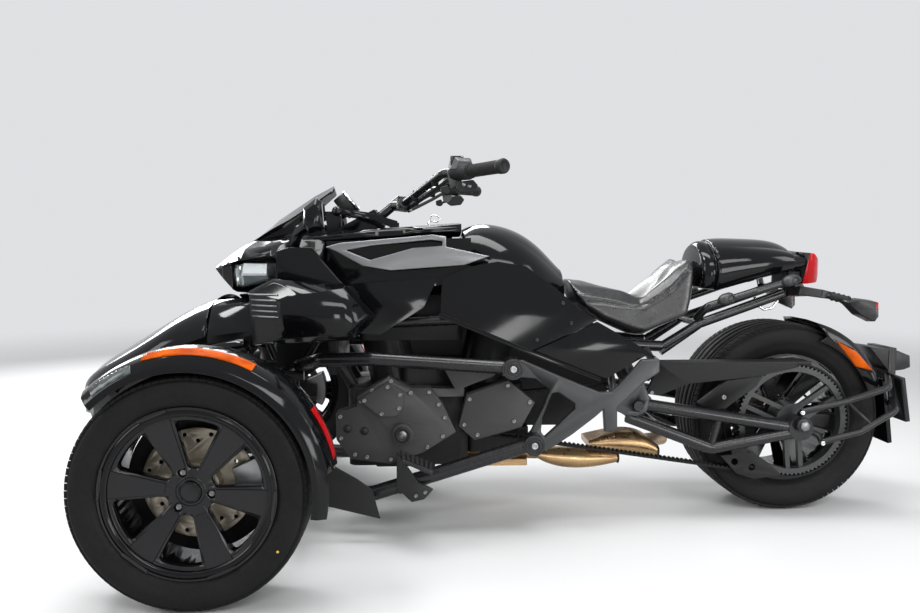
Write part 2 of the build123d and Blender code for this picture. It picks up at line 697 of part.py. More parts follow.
# ---- Rear fender and plate carrier --------------------------------------------------------
hugger_inner_r = rear_tyre_r + 12
hugger_half = rear_tyre_width / 2 + 20
with BuildPart() as rear_fender:
    arch(
        rear_wheel_centre,
        [
            (-hugger_half, 262), (-hugger_half, 300), (-hugger_half + 16, hugger_inner_r + 2),
            (-50, hugger_inner_r + 7), (50, hugger_inner_r + 7), (hugger_half - 16, hugger_inner_r + 2),
            (hugger_half, 300), (hugger_half, 262), (hugger_half - 6, 262), (hugger_half - 6, 298),
            (hugger_half - 18, hugger_inner_r - 4), (50, hugger_inner_r + 1), (-50, hugger_inner_r + 1),
            (-hugger_half + 18, hugger_inner_r - 4), (-hugger_half + 6, 298), (-hugger_half + 6, 262),
        ],
        96,
        164,
    )
    side_plate([(-880, 540), (-880, 660), (-940, 660), (-1000, 566), (-960, 540)], -140, 140, Mode.SUBTRACT)
    side_to_side([(y, [(-1205, 425), (-1222, 425), (-1248, 215), (-1234, 212)]) for y in (-96, 96)])
    for side in (-1, 1):
        side_plate([(-1026, 555), (-1092, 520), (-1151, 458), (-1094, 472)], side * (hugger_half - 4),
                   side * (hugger_half + 5))
export(rear_fender, "rear_fender")

rear_extreme = -overall_length / 2
with BuildPart() as plate_carrier:
    for side in (-1, 1):
        tube_run([(-890, side * 200, 342), (-1030, side * 196, 373), (-1175, side * 182, 412),
                  (-1246, side * 60, 432)], 20, 40)
        tube_run([(-957, side * 200, 247), (-1081, side * 196, 278), (-1200, side * 182, 338),
                  (-1262, side * 60, 352)], 20, 40)
        rod((-1035, side * 196, 372), (-1119, side * 192, 298), 9)
        rod((-1120, side * hugger_half, 386), (-1120, side * 190, 396), 16)
        rod((-900, side * 168, 330), (-900, side * 200, 342), 18)
        rod((-960, side * 176, 262), (-957, side * 200, 247), 18)
        rod((-905, side * 176, 290), (-960, side * 176, 262), 18)
    block((-1270, -1246), (-66, 66), (340, 520), 4)
    side_to_side([(y, [(-1224, 446), (-1277, 428), (-1300, 286), (-1284, 284), (-1262, 420)]) for y in (-105, 105)])
    side_to_side([(y, [(-1180, 524), (-1276, 511), (-1318, 494), (rear_extreme, 456), (-1300, 448), (-1249, 442)])
                  for y in (-60, 60)])
    add(rear_fender.part, mode=Mode.SUBTRACT)
    add(swingarm.part, mode=Mode.SUBTRACT)
export(plate_carrier, "plate_carrier")

# ---- Engine, covers, muffler --------------------------------------------------------------
with BuildPart() as engine:
    block((135, 500), (-160, 165), (185, 420), 30)
    block((-40, 136), (-160, 104), (205, 420), 20)
    rod((360, 0, 400), (400, 0, 590), 150)
    rod((90, 0, 400), (50, 0, 590), 150)
    block((250, 420), (-120, 120), (167, 186), 10)
    block((140, 340), (-90, 90), (420, 500), 20)
    block((150, 470), (-100, 100), (560, 700), 20)
    block((526, 556), (-185, 185), (468, 598), 6)
    for y in (-70, 70):
        rod((480, y, 392), (532, y, 486), 36)
    rod((-30, -200, 300), (-30, 104, 300), 30)
    block((-58, -20), (-204, 104), (250, 282), 6)
    axle_disc((pulley_x, pulley_z), pulley_r, belt_y[0] - 4, belt_y[1] + 4)
    axle_disc((pulley_x, pulley_z), 20, 100, belt_y[1] + 12)
    add(main_frame.part, mode=Mode.SUBTRACT)
export(engine, "engine")

clutch_outline = [(531, 358), (468, 380), (468, 408), (378, 466), (311, 433), (253, 433), (217, 387), (176, 300),
                  (271, 240), (371, 206), (488, 222), (530, 281)]
lid_outline = [(463, 401), (378, 454), (327, 422), (334, 372), (352, 352), (399, 350)]
pulley_cover_outline = [(168, 317), (144, 409), (22, 453), (-60, 386), (-20, 312), (12, 302), (121, 274)]

with BuildPart() as engine_covers:
    for side in (-1, 1):
        side_plate(clutch_outline, side * 166, side * 228)
        side_plate(lid_outline, side * 228, side * 240)
        axle_disc((334, 300), 31, side * 228, side * 252)
        axle_disc((334, 300), 24, side * 252, side * 258)
        side_plate(pulley_cover_outline, side * 166, side * 226)
        for z in (300, 372):
            rod((128, side * 100, z), (128, side * 168, z), 16)
        side_plate([(216, 494), (50, 480), (60, 462), (150, 428), (179, 425)], side * 120, side * 200)
        side_plate([(179, 425), (150, 428), (150, 400), (250, 400), (250, 430)], side * 150, side * 200)
    add(engine.part, mode=Mode.SUBTRACT)
    add(main_frame.part, mode=Mode.SUBTRACT)
    add(drive_belt.part, mode=Mode.SUBTRACT)
export(engine_covers, "engine_covers")

# Columns for each end: x, half height, middle z. The two cans lie one above and behind the other.
muffler_cans = (
    ((-92, 12, 186), (-128, 24, 178), (-296, 24, 168), (-352, 14, 172), 10, 84),
    ((-252, 10, 222), (-306, 26, 222), (-458, 26, 206), (-478, 14, 196), -20, 98),
)
with BuildPart() as muffler:
    for *ends, y_from, y_to in muffler_cans:
        sections = []
        for x, half, z in ends:
            with BuildSketch(Plane.YZ.offset(x)) as can:
                with Locations(((y_from + y_to) / 2, z)):
                    SlotOverall(y_to - y_from, 2 * half)
            sections.append(can.sketch)
        loft(sections)
    rod((-320, 40, 178), (-320, 40, 214), 40)
    rod((-96, 40, 186), (130, 0, 186), 44)
    rod((-60, -40, 186), (-60, 40, 186), 30)
    tube_run([(-455, -10, 205), (-520, -90, 190), (-560, -140, 180)], 46, 30)
    block((-60, 130), (-70, 70), (150, 170), 8)
    rod((60, 0, 160), (60, 0, 206), 20)
    add(engine.part, mode=Mode.SUBTRACT)
    add(swingarm.part, mode=Mode.SUBTRACT)
export(muffler, "muffler")

with BuildPart() as foot_pegs:
    for side in (-1, 1):
        side_plate([(351, 260), (352, 151), (308, 108), (272, 116), (245, 145), (290, 168)], side * 276, side * 288)
        side_to_side(((side * 288, [(341, 262), (341, 252), (245, 210), (239, 222)]),
                      (side * 395, [(333, 266), (333, 256), (250, 219), (245, 231)])))
        axle_disc((340, 141), 12, side * 268, side * 276)
        axle_disc((300, 146), 12, side * 268, side * 276)
    add(main_frame.part, mode=Mode.SUBTRACT)
export(foot_pegs, "foot_pegs")

with BuildPart() as splash_guards:
    for side in (-1, 1):
        side_to_side(((side * 322, [(540, 238), (463, 192), (420, 161), (397, 75), (567, 119), (566, 229)]),
                      (side * 329, [(540, 238), (463, 192), (420, 161), (397, 75), (567, 119), (566, 229)])))
        rod((470, side * 262, 124), (470, side * 324, 130), 18)
        rod((530, side * 250, 122), (530, side * 324, 150), 18)
    add(main_frame.part, mode=Mode.SUBTRACT)
export(splash_guards, "splash_guards")

# ---- Storage tub, hood lid, nose, vents, cowl, screen, lamps ---------------------------------
hood_hinge = (1306, 408)
lid_rear_x = 895
lid_thickness = 14
# Columns: x, middle z, shoulder y and z, edge y and z.
hood_stations = (
    (895, 700, 205, 672, 262, 592),
    (985, 660, 205, 630, 262, 560),
    (1080, 606, 196, 577, 248, 528),
    (1180, 545, 165, 520, 214, 482),
    (1250, 500, 130, 480, 172, 446),
    (1290, 463, 90, 450, 128, 426),
    (1306, 440, 72, 430, 96, 416),
)

with BuildPart() as hood_lid:
    sections = []
    for x, middle_z, shoulder_y, shoulder_z, edge_y, edge_z in hood_stations:
        drop = lid_thickness
        bulge = ((shoulder_y + edge_y) / 2 + 8, (shoulder_z + edge_z) / 2 + 6)
        with BuildSketch(Plane.YZ.offset(x)) as section:
            with BuildLine():
                ThreePointArc((shoulder_y, shoulder_z), (0, middle_z), (-shoulder_y, shoulder_z))
                ThreePointArc((shoulder_y - drop, shoulder_z - drop), (0, middle_z - drop),
                              (drop - shoulder_y, shoulder_z - drop))
                for mirror_y in (-1, 1):
                    ThreePointArc((mirror_y * shoulder_y, shoulder_z), (mirror_y * bulge[0], bulge[1]),
                                  (mirror_y * edge_y, edge_z))
                    Line((mirror_y * edge_y, edge_z), (mirror_y * (edge_y - drop), edge_z))
                    ThreePointArc((mirror_y * (edge_y - drop), edge_z),
                                  (mirror_y * (bulge[0] - drop), bulge[1] - drop / 2),
                                  (mirror_y * (shoulder_y - drop), shoulder_z - drop))
            make_face()
        sections.append(section.sketch)
    loft(sections)
export(hood_lid, "hood_lid")

tub_wall = 4
tub_half = 180
with BuildPart() as storage_tub:
    side_plate([(902, 492), (965, 492), (965, 400), (1170, 400), (1170, 478), (902, 648)], -tub_half, tub_half)
    side_plate([(902 + tub_wall, 492 + tub_wall), (965 + tub_wall, 492 + tub_wall), (965 + tub_wall, 400 + tub_wall),
                (1170 - tub_wall, 400 + tub_wall), (1170 - tub_wall, 560), (902 + tub_wall, 720)],
               -tub_half + tub_wall, tub_half - tub_wall, Mode.SUBTRACT)
    for side in (-1, 1):
        block((910, 940), (side * 106, side * 130), (455, 492))
    add(front_subframe.part, mode=Mode.SUBTRACT)
export(storage_tub, "storage_tub")

with BuildPart() as nose:
    stations_loft([
        (1010, [(0, 398), (0, 530), (238, 520), (262, 508), (256, 470), (215, 398)]),
        (1080, [(0, 330), (0, 520), (225, 508), (256, 496), (246, 440), (205, 330)]),
        (1180, [(0, 270), (0, 490), (190, 470), (224, 452), (214, 390), (180, 270)]),
        (1250, [(0, 250), (0, 450), (150, 432), (182, 414), (170, 360), (150, 250)]),
        (1292, [(0, 270), (0, 404), (110, 402), (136, 392), (126, 340), (100, 270)]),
        (1321, [(0, 330), (0, 400), (44, 398), (62, 388), (56, 366), (40, 330)]),
    ])
    side_plate([(1000, 396), (1182, 396), (1182, 620), (1000, 620)], -192, 192, Mode.SUBTRACT)
    block((1085, 1330), (-150, 150), (285, 352), 30, Mode.SUBTRACT)
    for side in (-1, 1):
        side_loft([
            (1080, [(side * y, z) for y, z in ((236, 500), (256, 508), (262, 498), (240, 470))]),
            (985, [(side * y, z) for y, z in ((246, 528), (288, 544), (300, 532), (258, 498))]),
            (860, [(side * y, z) for y, z in ((250, 556), (322, 578), (336, 564), (266, 528))]),
            (768, [(side * y, z) for y, z in ((252, 572), (340, 598), (352, 580), (272, 540))]),
        ])
        side_loft([
            (889, [(side * y, z) for y, z in ((150, 690), (205, 674), (240, 634), (262, 594), (262, 548),
                                              (256, 546), (255, 590), (234, 630), (202, 668), (148, 684))]),
            (752, [(side * y, z) for y, z in ((150, 704), (200, 696), (238, 656), (262, 612), (262, 562),
                                              (256, 560), (255, 608), (232, 652), (196, 690), (148, 698))]),
        ])
    add(front_subframe.part, mode=Mode.SUBTRACT)
    add(shocks.part, mode=Mode.SUBTRACT)
export(nose, "nose_fascia")

with BuildPart() as nose_grille:
    for index in range(6):
        z = 292 + index * 10
        block((1200, 1206), (-150, 150), (z, z + 4))
    for y in (-100, 0, 100):
        block((1198, 1208), (y - 3, y + 3), (285, 352))
    block((1010, 1060), (-190, 190), (210, 390), 8)
    for side in (-1, 1):
        block((984, 1012), (side * 104, side * 132), (300, 330))
    add(front_subframe.part, mode=Mode.SUBTRACT)
    add(storage_tub.part, mode=Mode.SUBTRACT)
    add(nose.part, mode=Mode.SUBTRACT)
export(nose_grille, "nose_grille")

with BuildPart() as headlights:
    for side in (-1, 1):
        side_to_side([
            (side * 115, [(838, 732), (845, 766), (840, 794), (795, 804), (720, 804), (720, 735)]),
            (side * 180, [(808, 730), (815, 766), (808, 795), (770, 804), (700, 804), (700, 742)]),
            (side * 240, [(716, 754), (722, 770), (716, 798), (706, 804), (690, 804), (690, 758)]),
        ])
export(headlights, "headlights")

with BuildPart() as upper_cowl:
    stations_loft([
        (560, [(0, 730), (0, 880), (120, 900), (190, 872), (244, 800), (250, 780), (252, 742)]),
        (640, [(0, 700), (0, 880), (130, 900), (214, 868), (256, 808), (262, 785), (262, 735)]),
        (690, [(0, 700), (0, 872), (124, 886), (214, 858), (262, 822), (262, 806), (258, 735)]),
        (712, [(0, 700), (0, 872), (120, 882), (210, 854), (258, 824), (130, 808), (116, 722)]),
        (800, [(0, 700), (0, 868), (90, 862), (160, 842), (212, 812), (106, 804), (96, 716)]),
        (862, [(0, 706), (0, 836), (60, 826), (84, 814), (104, 800), (62, 792), (54, 716)]),
        (900, [(0, 744), (0, 806), (24, 802), (34, 796), (42, 789), (30, 783), (24, 750)]),
        (926, [(0, 776), (0, 786), (4, 785), (7, 784), (9, 782), (7, 780), (4, 778)]),
    ])
    side_plate([(480, 700), (640, 700), (720, 712), (722, 736), (640, 839), (480, 839)], -205, 205, Mode.SUBTRACT)
    for side in (-1, 1):
        side_plate([(690, 838), (651, 849), (591, 849), (500, 742), (600, 730), (690, 742)], side * 238, side * 264)
    add(headlights.part, mode=Mode.SUBTRACT)
    add(main_frame.part, mode=Mode.SUBTRACT)
    rod((*(stem_base - stem_axis * 240),), (*(stem_base + stem_axis * 5),), stem_d + 12, Mode.SUBTRACT)
export(upper_cowl, "upper_cowl")

# Columns: x, middle z, edge y, edge z.
screen_stations = ((800, 868, 76, 862), (727, 932, 112, 904), (676, 966, 122, 930), (613, 1008, 112, 972),
                   (552, 1041, 78, 1020))
screen_wall = 5
with BuildPart() as windscreen:
    side_loft([
        (x, [(0, middle_z), (0, middle_z - screen_wall), (edge_y - screen_wall, edge_z - screen_wall),
             (edge_y, edge_z)])
        for x, middle_z, edge_y, edge_z in screen_stations
    ])
    mirror(about=Plane.XZ)
    for side in (-1, 1):
        side_plate([(560, 862), (780, 862), (790, 868), (740, 905), (660, 912), (575, 890)], side * 64, side * 70)
    add(upper_cowl.part, mode=Mode.SUBTRACT)
export(windscreen, "windscreen")

vent_sections = [
    (232, [(764, 612), (766, 716), (692, 748), (500, 738), (434, 660), (500, 598)]),
    (340, [(744, 578), (752, 728), (686, 762), (487, 745), (398, 655), (465, 592)]),
    (400, [(640, 604), (656, 702), (602, 722), (488, 738), (426, 668), (482, 614)]),
]
duct_y, duct_z = (252, 334), (634, 706)
with BuildPart() as side_vents:
    for side in (-1, 1):
        side_to_side([(side * y, outline) for y, outline in vent_sections])
        block((726, 790), (side * duct_y[0], side * duct_y[1]), duct_z, mode=Mode.SUBTRACT)
        for z in (648, 663, 678, 693):
            block((734, 742), (side * (duct_y[0] - 2), side * (duct_y[1] + 2)), (z - 2, z + 2))
        block((728, 744), (side * 290, side * 296), (duct_z[0] - 2, duct_z[1] + 2))
    add(headlights.part, mode=Mode.SUBTRACT)
    add(nose.part, mode=Mode.SUBTRACT)
    add(upper_cowl.part, mode=Mode.SUBTRACT)
    add(main_frame.part, mode=Mode.SUBTRACT)
export(side_vents, "side_vents")

# ---- Side covers, tank, console, gauges -----------------------------------------------------
with BuildPart() as side_covers:
    for side in (-1, 1):
        side_plate([(484, 742), (231, 758), (271, 672), (400, 592), (470, 598), (408, 652)], side * 192, side * 226)
        side_plate([(222, 655), (216, 757), (144, 789), (51, 806), (-32, 792), (-116, 731), (-182, 675),
                    (-246, 630), (-51, 540)], side * 188, side * 216)
        side_plate([(-57, 538), (-252, 624), (-352, 567), (-433, 516), (-393, 520), (-278, 454)],
                   side * 188, side * 212)
        side_plate([(230, 646), (222, 657), (-51, 540), (-257, 457), (-257, 447), (-46, 530)], side * 216, side * 228)
        side_plate([(556, 734), (556, 866), (450, 868), (130, 876), (130, 762), (231, 734)], side * 182, side * 194)
        rod((150, side * 150, 640), (150, side * 190, 650), 14)
        rod((-150, side * 130, 590), (-150, side * 190, 600), 14)
        rod((420, side * 144, 620), (420, side * 194, 640), 14)
    add(main_frame.part, mode=Mode.SUBTRACT)
    add(pivot_plates.part, mode=Mode.SUBTRACT)
    add(engine_covers.part, mode=Mode.SUBTRACT)
export(side_covers, "side_covers")

with BuildPart() as tank_cover:
    crowned_loft((
        (150, 668, 150, 815, 162, 880, 112, 902),
        (97, 668, 158, 812, 172, 890, 116, 920),
        (31, 668, 160, 802, 176, 884, 112, 916),
        (-47, 668, 148, 775, 162, 850, 104, 886),
        (-119, 660, 112, 730, 124, 795, 82, 828),
        (-172, 655, 78, 700, 86, 748, 56, 774),
    ))
    add(main_frame.part, mode=Mode.SUBTRACT)
export(tank_cover, "tank_cover")

with BuildPart() as tank_frames:
    for side in (-1, 1):
        side_plate([(557, 849), (514, 861), (244, 885), (204, 880), (204, 850), (75, 822), (149, 796), (369, 780),
                    (449, 793), (525, 835)], side * 200, side * 216)
        side_plate([(496, 839), (419, 853), (250, 870), (216, 866), (214, 852), (303, 846), (427, 811)],
                   side * 195, side * 220, Mode.SUBTRACT)
        rod((150, side * 186, 818), (150, side * 204, 818), 12)
        rod((520, side * 186, 845), (520, side * 204, 845), 12)
    add(side_covers.part, mode=Mode.SUBTRACT)
    add(tank_cover.part, mode=Mode.SUBTRACT)
    add(main_frame.part, mode=Mode.SUBTRACT)
    add(upper_cowl.part, mode=Mode.SUBTRACT)
export(tank_frames, "tank_frames")

with BuildPart() as console:
    stations_loft([
        (612, [(0, 868), (0, 894), (130, 888), (196, 876), (198, 862), (130, 860)]),
        (450, [(0, 868), (0, 906), (110, 902), (190, 892), (192, 876), (110, 860)]),
        (300, [(0, 876), (0, 916), (100, 912), (172, 904), (174, 884), (100, 872)]),
        (156, [(0, 880), (0, 926), (90, 922), (148, 918), (150, 896), (90, 884)]),
    ])
    block((180, 540), (-60, 60), (790, 890), 10)
    side_plate([(535, 880), (535, 908), (424, 966), (392, 926), (392, 880)], -46, 46)
    for side in (-1, 1):
        axle_disc((533, 957), 15, side * 90, side * 112)
        side_plate([(533, 966), (436, 954), (350, 928), (350, 900), (420, 932), (533, 948)], side * 96, side * 106)
    add(side_covers.part, mode=Mode.SUBTRACT)
    add(tank_cover.part, mode=Mode.SUBTRACT)
    add(tank_frames.part, mode=Mode.SUBTRACT)
    add(main_frame.part, mode=Mode.SUBTRACT)
    add(upper_cowl.part, mode=Mode.SUBTRACT)
    add(windscreen.part, mode=Mode.SUBTRACT)
    rod((*(stem_base - stem_axis * 240),), (*(stem_base + stem_axis * 5),), stem_d + 12, Mode.SUBTRACT)
export(console, "console")

with BuildPart() as gauges:
    rod((530, 0, 966), (498, 0, 994), 76)
    block((530, 580), (-24, 24), (878, 960), 6)
    add(console.part, mode=Mode.SUBTRACT)
    add(upper_cowl.part, mode=Mode.SUBTRACT)
    add(windscreen.part, mode=Mode.SUBTRACT)
    add(main_frame.part, mode=Mode.SUBTRACT)
export(gauges, "gauge_cluster")

mirror_head = [(594, 954), (561, 981), (547, 973), (540, 896), (581, 885), (597, 907)]
mirror_edge = [(588, 944), (563, 964), (553, 958), (548, 908), (578, 900), (590, 914)]
with BuildPart() as mirrors:
    for side in (-1, 1):
        side_to_side([(side * 288, mirror_edge), (side * 310, mirror_head), (side * 372, mirror_head),
                      (side * 392, mirror_edge)])
        side_to_side([(side * 236, [(660, 812), (672, 840), (640, 836), (640, 806)]),
                      (side * 262, [(640, 880), (636, 900), (618, 900), (616, 876)]),
                      (side * 300, [(604, 900), (600, 930), (584, 930), (584, 900)])])
    add(upper_cowl.part, mode=Mode.SUBTRACT)
export(mirrors, "mirrors")

# ---- Saddle, tail cowl, lamps -------------------------------------------------------------------
saddle_hinge = (-176, 764)
with BuildPart() as saddle:
    side_to_side([
        (-135, [(-200, 700), (-230, 708), (-350, 680), (-408, 660), (-480, 712), (-545, 790), (-566, 780),
                (-560, 690), (-550, 640), (-420, 590), (-380, 600), (-290, 630), (-226, 672)]),
        (-100, [(-181, 748), (-216, 732), (-353, 708), (-411, 684), (-489, 747), (-560, 822), (-574, 798),
                (-571, 690), (-560, 640), (-414, 571), (-376, 574), (-281, 618), (-217, 666)]),
        (0, [(-181, 756), (-220, 738), (-350, 690), (-441, 660), (-500, 724), (-556, 816), (-574, 798),
             (-571, 690), (-560, 640), (-414, 571), (-376, 574), (-281, 618), (-217, 666)]),
        (100, [(-181, 748), (-216, 732), (-353, 708), (-411, 684), (-489, 747), (-560, 822), (-574, 798),
               (-571, 690), (-560, 640), (-414, 571), (-376, 574), (-281, 618), (-217, 666)]),
        (135, [(-200, 700), (-230, 708), (-350, 680), (-408, 660), (-480, 712), (-545, 790), (-566, 780),
               (-560, 690), (-550, 640), (-420, 590), (-380, 600), (-290, 630), (-226, 672)]),
    ])
export(saddle, "saddle")

with BuildPart() as tail_cowl:
    crowned_loft((
        (-645, 712, 112, 794, 130, 850, 86, 873),
        (-720, 732, 110, 798, 130, 850, 88, 877),
        (-800, 752, 106, 802, 126, 846, 84, 874),
        (-870, 768, 96, 806, 112, 838, 72, 864),
        (-905, 776, 88, 806, 102, 826, 64, 848),
    ))
    crowned_loft((
        (-603, 720, 84, 786, 98, 834, 64, 852),
        (-614, 718, 94, 788, 110, 838, 74, 864),
        (-645, 716, 100, 792, 114, 838, 76, 864),
    ))
    crowned_loft((
        (-905, 778, 80, 804, 92, 822, 58, 840),
        (-952, 784, 62, 806, 74, 820, 48, 834),
    ))
    add(tail_frame.part, mode=Mode.SUBTRACT)
export(tail_cowl, "tail_cowl")

with BuildPart() as tail_light:
    with BuildSketch(Plane.XY.offset(725)) as lens_plan:
        with BuildLine():
            ThreePointArc((-958, 74), (-1020, 0), (-958, -74))
            Polyline((-958, -74), (-940, -68), (-940, 68), (-958, 74))
        make_face()
    extrude(lens_plan.sketch, amount=110)
    side_plate([(-940, 832), (-985, 828), (-1016, 806), (-1022, 776), (-1000, 734), (-940, 730)], -90, 90,
               Mode.INTERSECT)
    side_plate([(-900, 712), (-945, 726), (-945, 770), (-900, 772)], -60, 60)
    add(tail_cowl.part, mode=Mode.SUBTRACT)
    add(tail_frame.part, mode=Mode.SUBTRACT)
export(tail_light, "tail_light")

with BuildPart() as rear_signals:
    for side in (-1, 1):
        tube_run([(-880, side * 92, 702), (-936, side * 180, 708), (-1000, side * 240, 690)], 18, 20)
        side_to_side([
            (side * 236, [(-972, 690), (-1020, 697), (-1072, 690), (-1074, 640), (-1062, 625), (-1016, 647)]),
            (side * 284, [(-976, 686), (-1020, 693), (-1068, 686), (-1070, 644), (-1060, 630), (-1018, 650)]),
        ])
    add(tail_frame.part, mode=Mode.SUBTRACT)
export(rear_signals, "rear_signals")

# ---- Handlebar, grips, switch gear -----------------------------------------------------------------
bar_d = 24
with BuildPart() as handlebar:
    rod((*(stem_base - stem_axis * 200),), (*(stem_base + stem_axis * 50),), stem_d)
    for side in (-1, 1):
        rod((*(stem_base + stem_axis * 14),), (327, side * 60, 976), 30)
        tube_run([(327, 0, 984), (327, side * 90, 984), (216, side * 290, 1055), (150, side * 345, 1056),
                  (88, side * 440, 1058)], bar_d, 30)
    block((306, 352), (-80, 80), (966, 1004), 10)
export(handlebar, "handlebar")

with BuildPart() as grips:
    for side in (-1, 1):
        rod((142, side * 357, 1056.3), (66, side * 474, 1058.7), 34)
    add(handlebar.part, mode=Mode.SUBTRACT)
export(grips, "grips")

with BuildPart() as switch_gear:
    for side in (-1, 1):
        rod((186, side * 314, 1056), (144, side * 354, 1056.2), 46)
        block((160, 196), (side * 296, side * 336), (1070, 1100), 8)
    add(handlebar.part, mode=Mode.SUBTRACT)
    add(grips.part, mode=Mode.SUBTRACT)
export(switch_gear, "switch_gear")
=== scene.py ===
import json
import math
import numpy as np

import bmesh
import bpy
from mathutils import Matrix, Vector
from mathutils.bvhtree import BVHTree
from mathutils.kdtree import KDTree


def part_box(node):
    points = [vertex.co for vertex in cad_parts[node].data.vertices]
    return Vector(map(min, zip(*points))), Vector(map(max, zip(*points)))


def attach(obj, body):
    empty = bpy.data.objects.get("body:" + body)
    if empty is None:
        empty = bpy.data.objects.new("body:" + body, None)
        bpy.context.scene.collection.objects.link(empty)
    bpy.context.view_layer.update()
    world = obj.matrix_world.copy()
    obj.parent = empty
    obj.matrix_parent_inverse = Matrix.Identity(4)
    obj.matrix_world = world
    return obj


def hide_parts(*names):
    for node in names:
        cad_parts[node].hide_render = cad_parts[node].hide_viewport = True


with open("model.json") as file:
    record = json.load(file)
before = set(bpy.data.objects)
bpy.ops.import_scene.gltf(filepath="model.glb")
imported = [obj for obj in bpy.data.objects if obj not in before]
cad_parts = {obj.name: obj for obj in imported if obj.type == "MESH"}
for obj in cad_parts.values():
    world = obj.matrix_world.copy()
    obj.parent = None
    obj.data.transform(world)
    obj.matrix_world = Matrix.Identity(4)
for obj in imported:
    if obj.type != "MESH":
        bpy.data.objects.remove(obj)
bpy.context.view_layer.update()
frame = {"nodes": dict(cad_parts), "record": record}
nodes = frame["nodes"]
print("frame loaded:", len(nodes), "nodes")


# camera, floor and light
def linked(name, data):
    obj = bpy.data.objects.new(name, data)
    bpy.context.scene.collection.objects.link(obj)
    return obj


def aimed(obj, place, target):
    obj.location = Vector(place)
    obj.rotation_mode = "QUATERNION"
    obj.rotation_quaternion = (Vector(target) - Vector(place)).to_track_quat("-Z", "Y")
    return obj


viewpoint = {
    "place": (0.281, 2.4958, 0.8547),
    "yaw": 0.05139,  # radians off the line along -Y
    "pitch": 0.07913,  # radians down
    "focalPixels": 775.14,
    "imageWidth": 920,
    "sensor": 36.0,
    "farLimit": 60.0,
}


def makeCamera(v):
    data = bpy.data.cameras.new("viewCamera")
    data.sensor_width = v["sensor"]
    data.lens = v["sensor"] * v["focalPixels"] / v["imageWidth"]
    data.clip_end = v["farLimit"]
    camera = linked("viewCamera", data)
    flat = math.cos(v["pitch"])
    ahead = Vector((-math.sin(v["yaw"]) * flat, -math.cos(v["yaw"]) * flat, -math.sin(v["pitch"])))
    aimed(camera, v["place"], Vector(v["place"]) + ahead)
    bpy.context.scene.camera = camera


studio = {
    "floorSize": 40.0,
    "floorColour": (0.58, 0.585, 0.59, 1),
    "floorRoughness": 0.55,
    "floorShine": 0.25,
    "backdropColour": (0.74, 0.75, 0.77, 1),
    "fade": (2.6, 7.0),  # metres from the middle where the floor turns into the backdrop
    "skyStrength": 0.42,
    # place, aim, size x, size y, watts
    "panels": (
        ("topPanel", (0.2, 0.3, 3.4), (0.0, 0.0, 0.5), 3.0, 0.9, 100),
        ("sidePanel", (-1.0, 3.2, 3.0), (-0.2, 0.0, 0.6), 2.6, 0.8, 62),
        ("frontPanel", (3.6, 1.6, 1.9), (0.5, 0.0, 0.5), 0.9, 1.8, 34),
        ("tailPanel", (-3.6, 1.6, 2.2), (-0.6, 0.0, 0.5), 0.9, 1.8, 32),
        ("farPanel", (0.7, -2.9, 2.6), (-0.3, 0.0, 0.6), 2.2, 1.0, 78),
        ("hoodPanel", (2.75, -3.1, 1.65), (0.9, 0.0, 0.6), 1.8, 1.0, 62),
        ("nosePanel", (2.05, 0.6, 3.3), (0.84, 0.22, 0.65), 0.75, 0.65, 42),
        ("coverPanel", (-0.80, 3.2, 0.40), (-0.2, 0.2, 0.6), 0.40, 0.70, 10),
        ("flankPanel", (-2.3, 2.8, 0.80), (-0.7, 0.1, 0.8), 1.3, 0.9, 32),
    ),
}


def worked(tree, operation, *values):
    # a math node fed with other nodes' outputs or with plain numbers
    node = tree.nodes.new("ShaderNodeMath")
    node.operation = operation
    for socket, value in zip(node.inputs, values):
        if isinstance(value, (int, float)):
            socket.default_value = value
        else:
            tree.links.new(value, socket)
    return node.outputs[0]


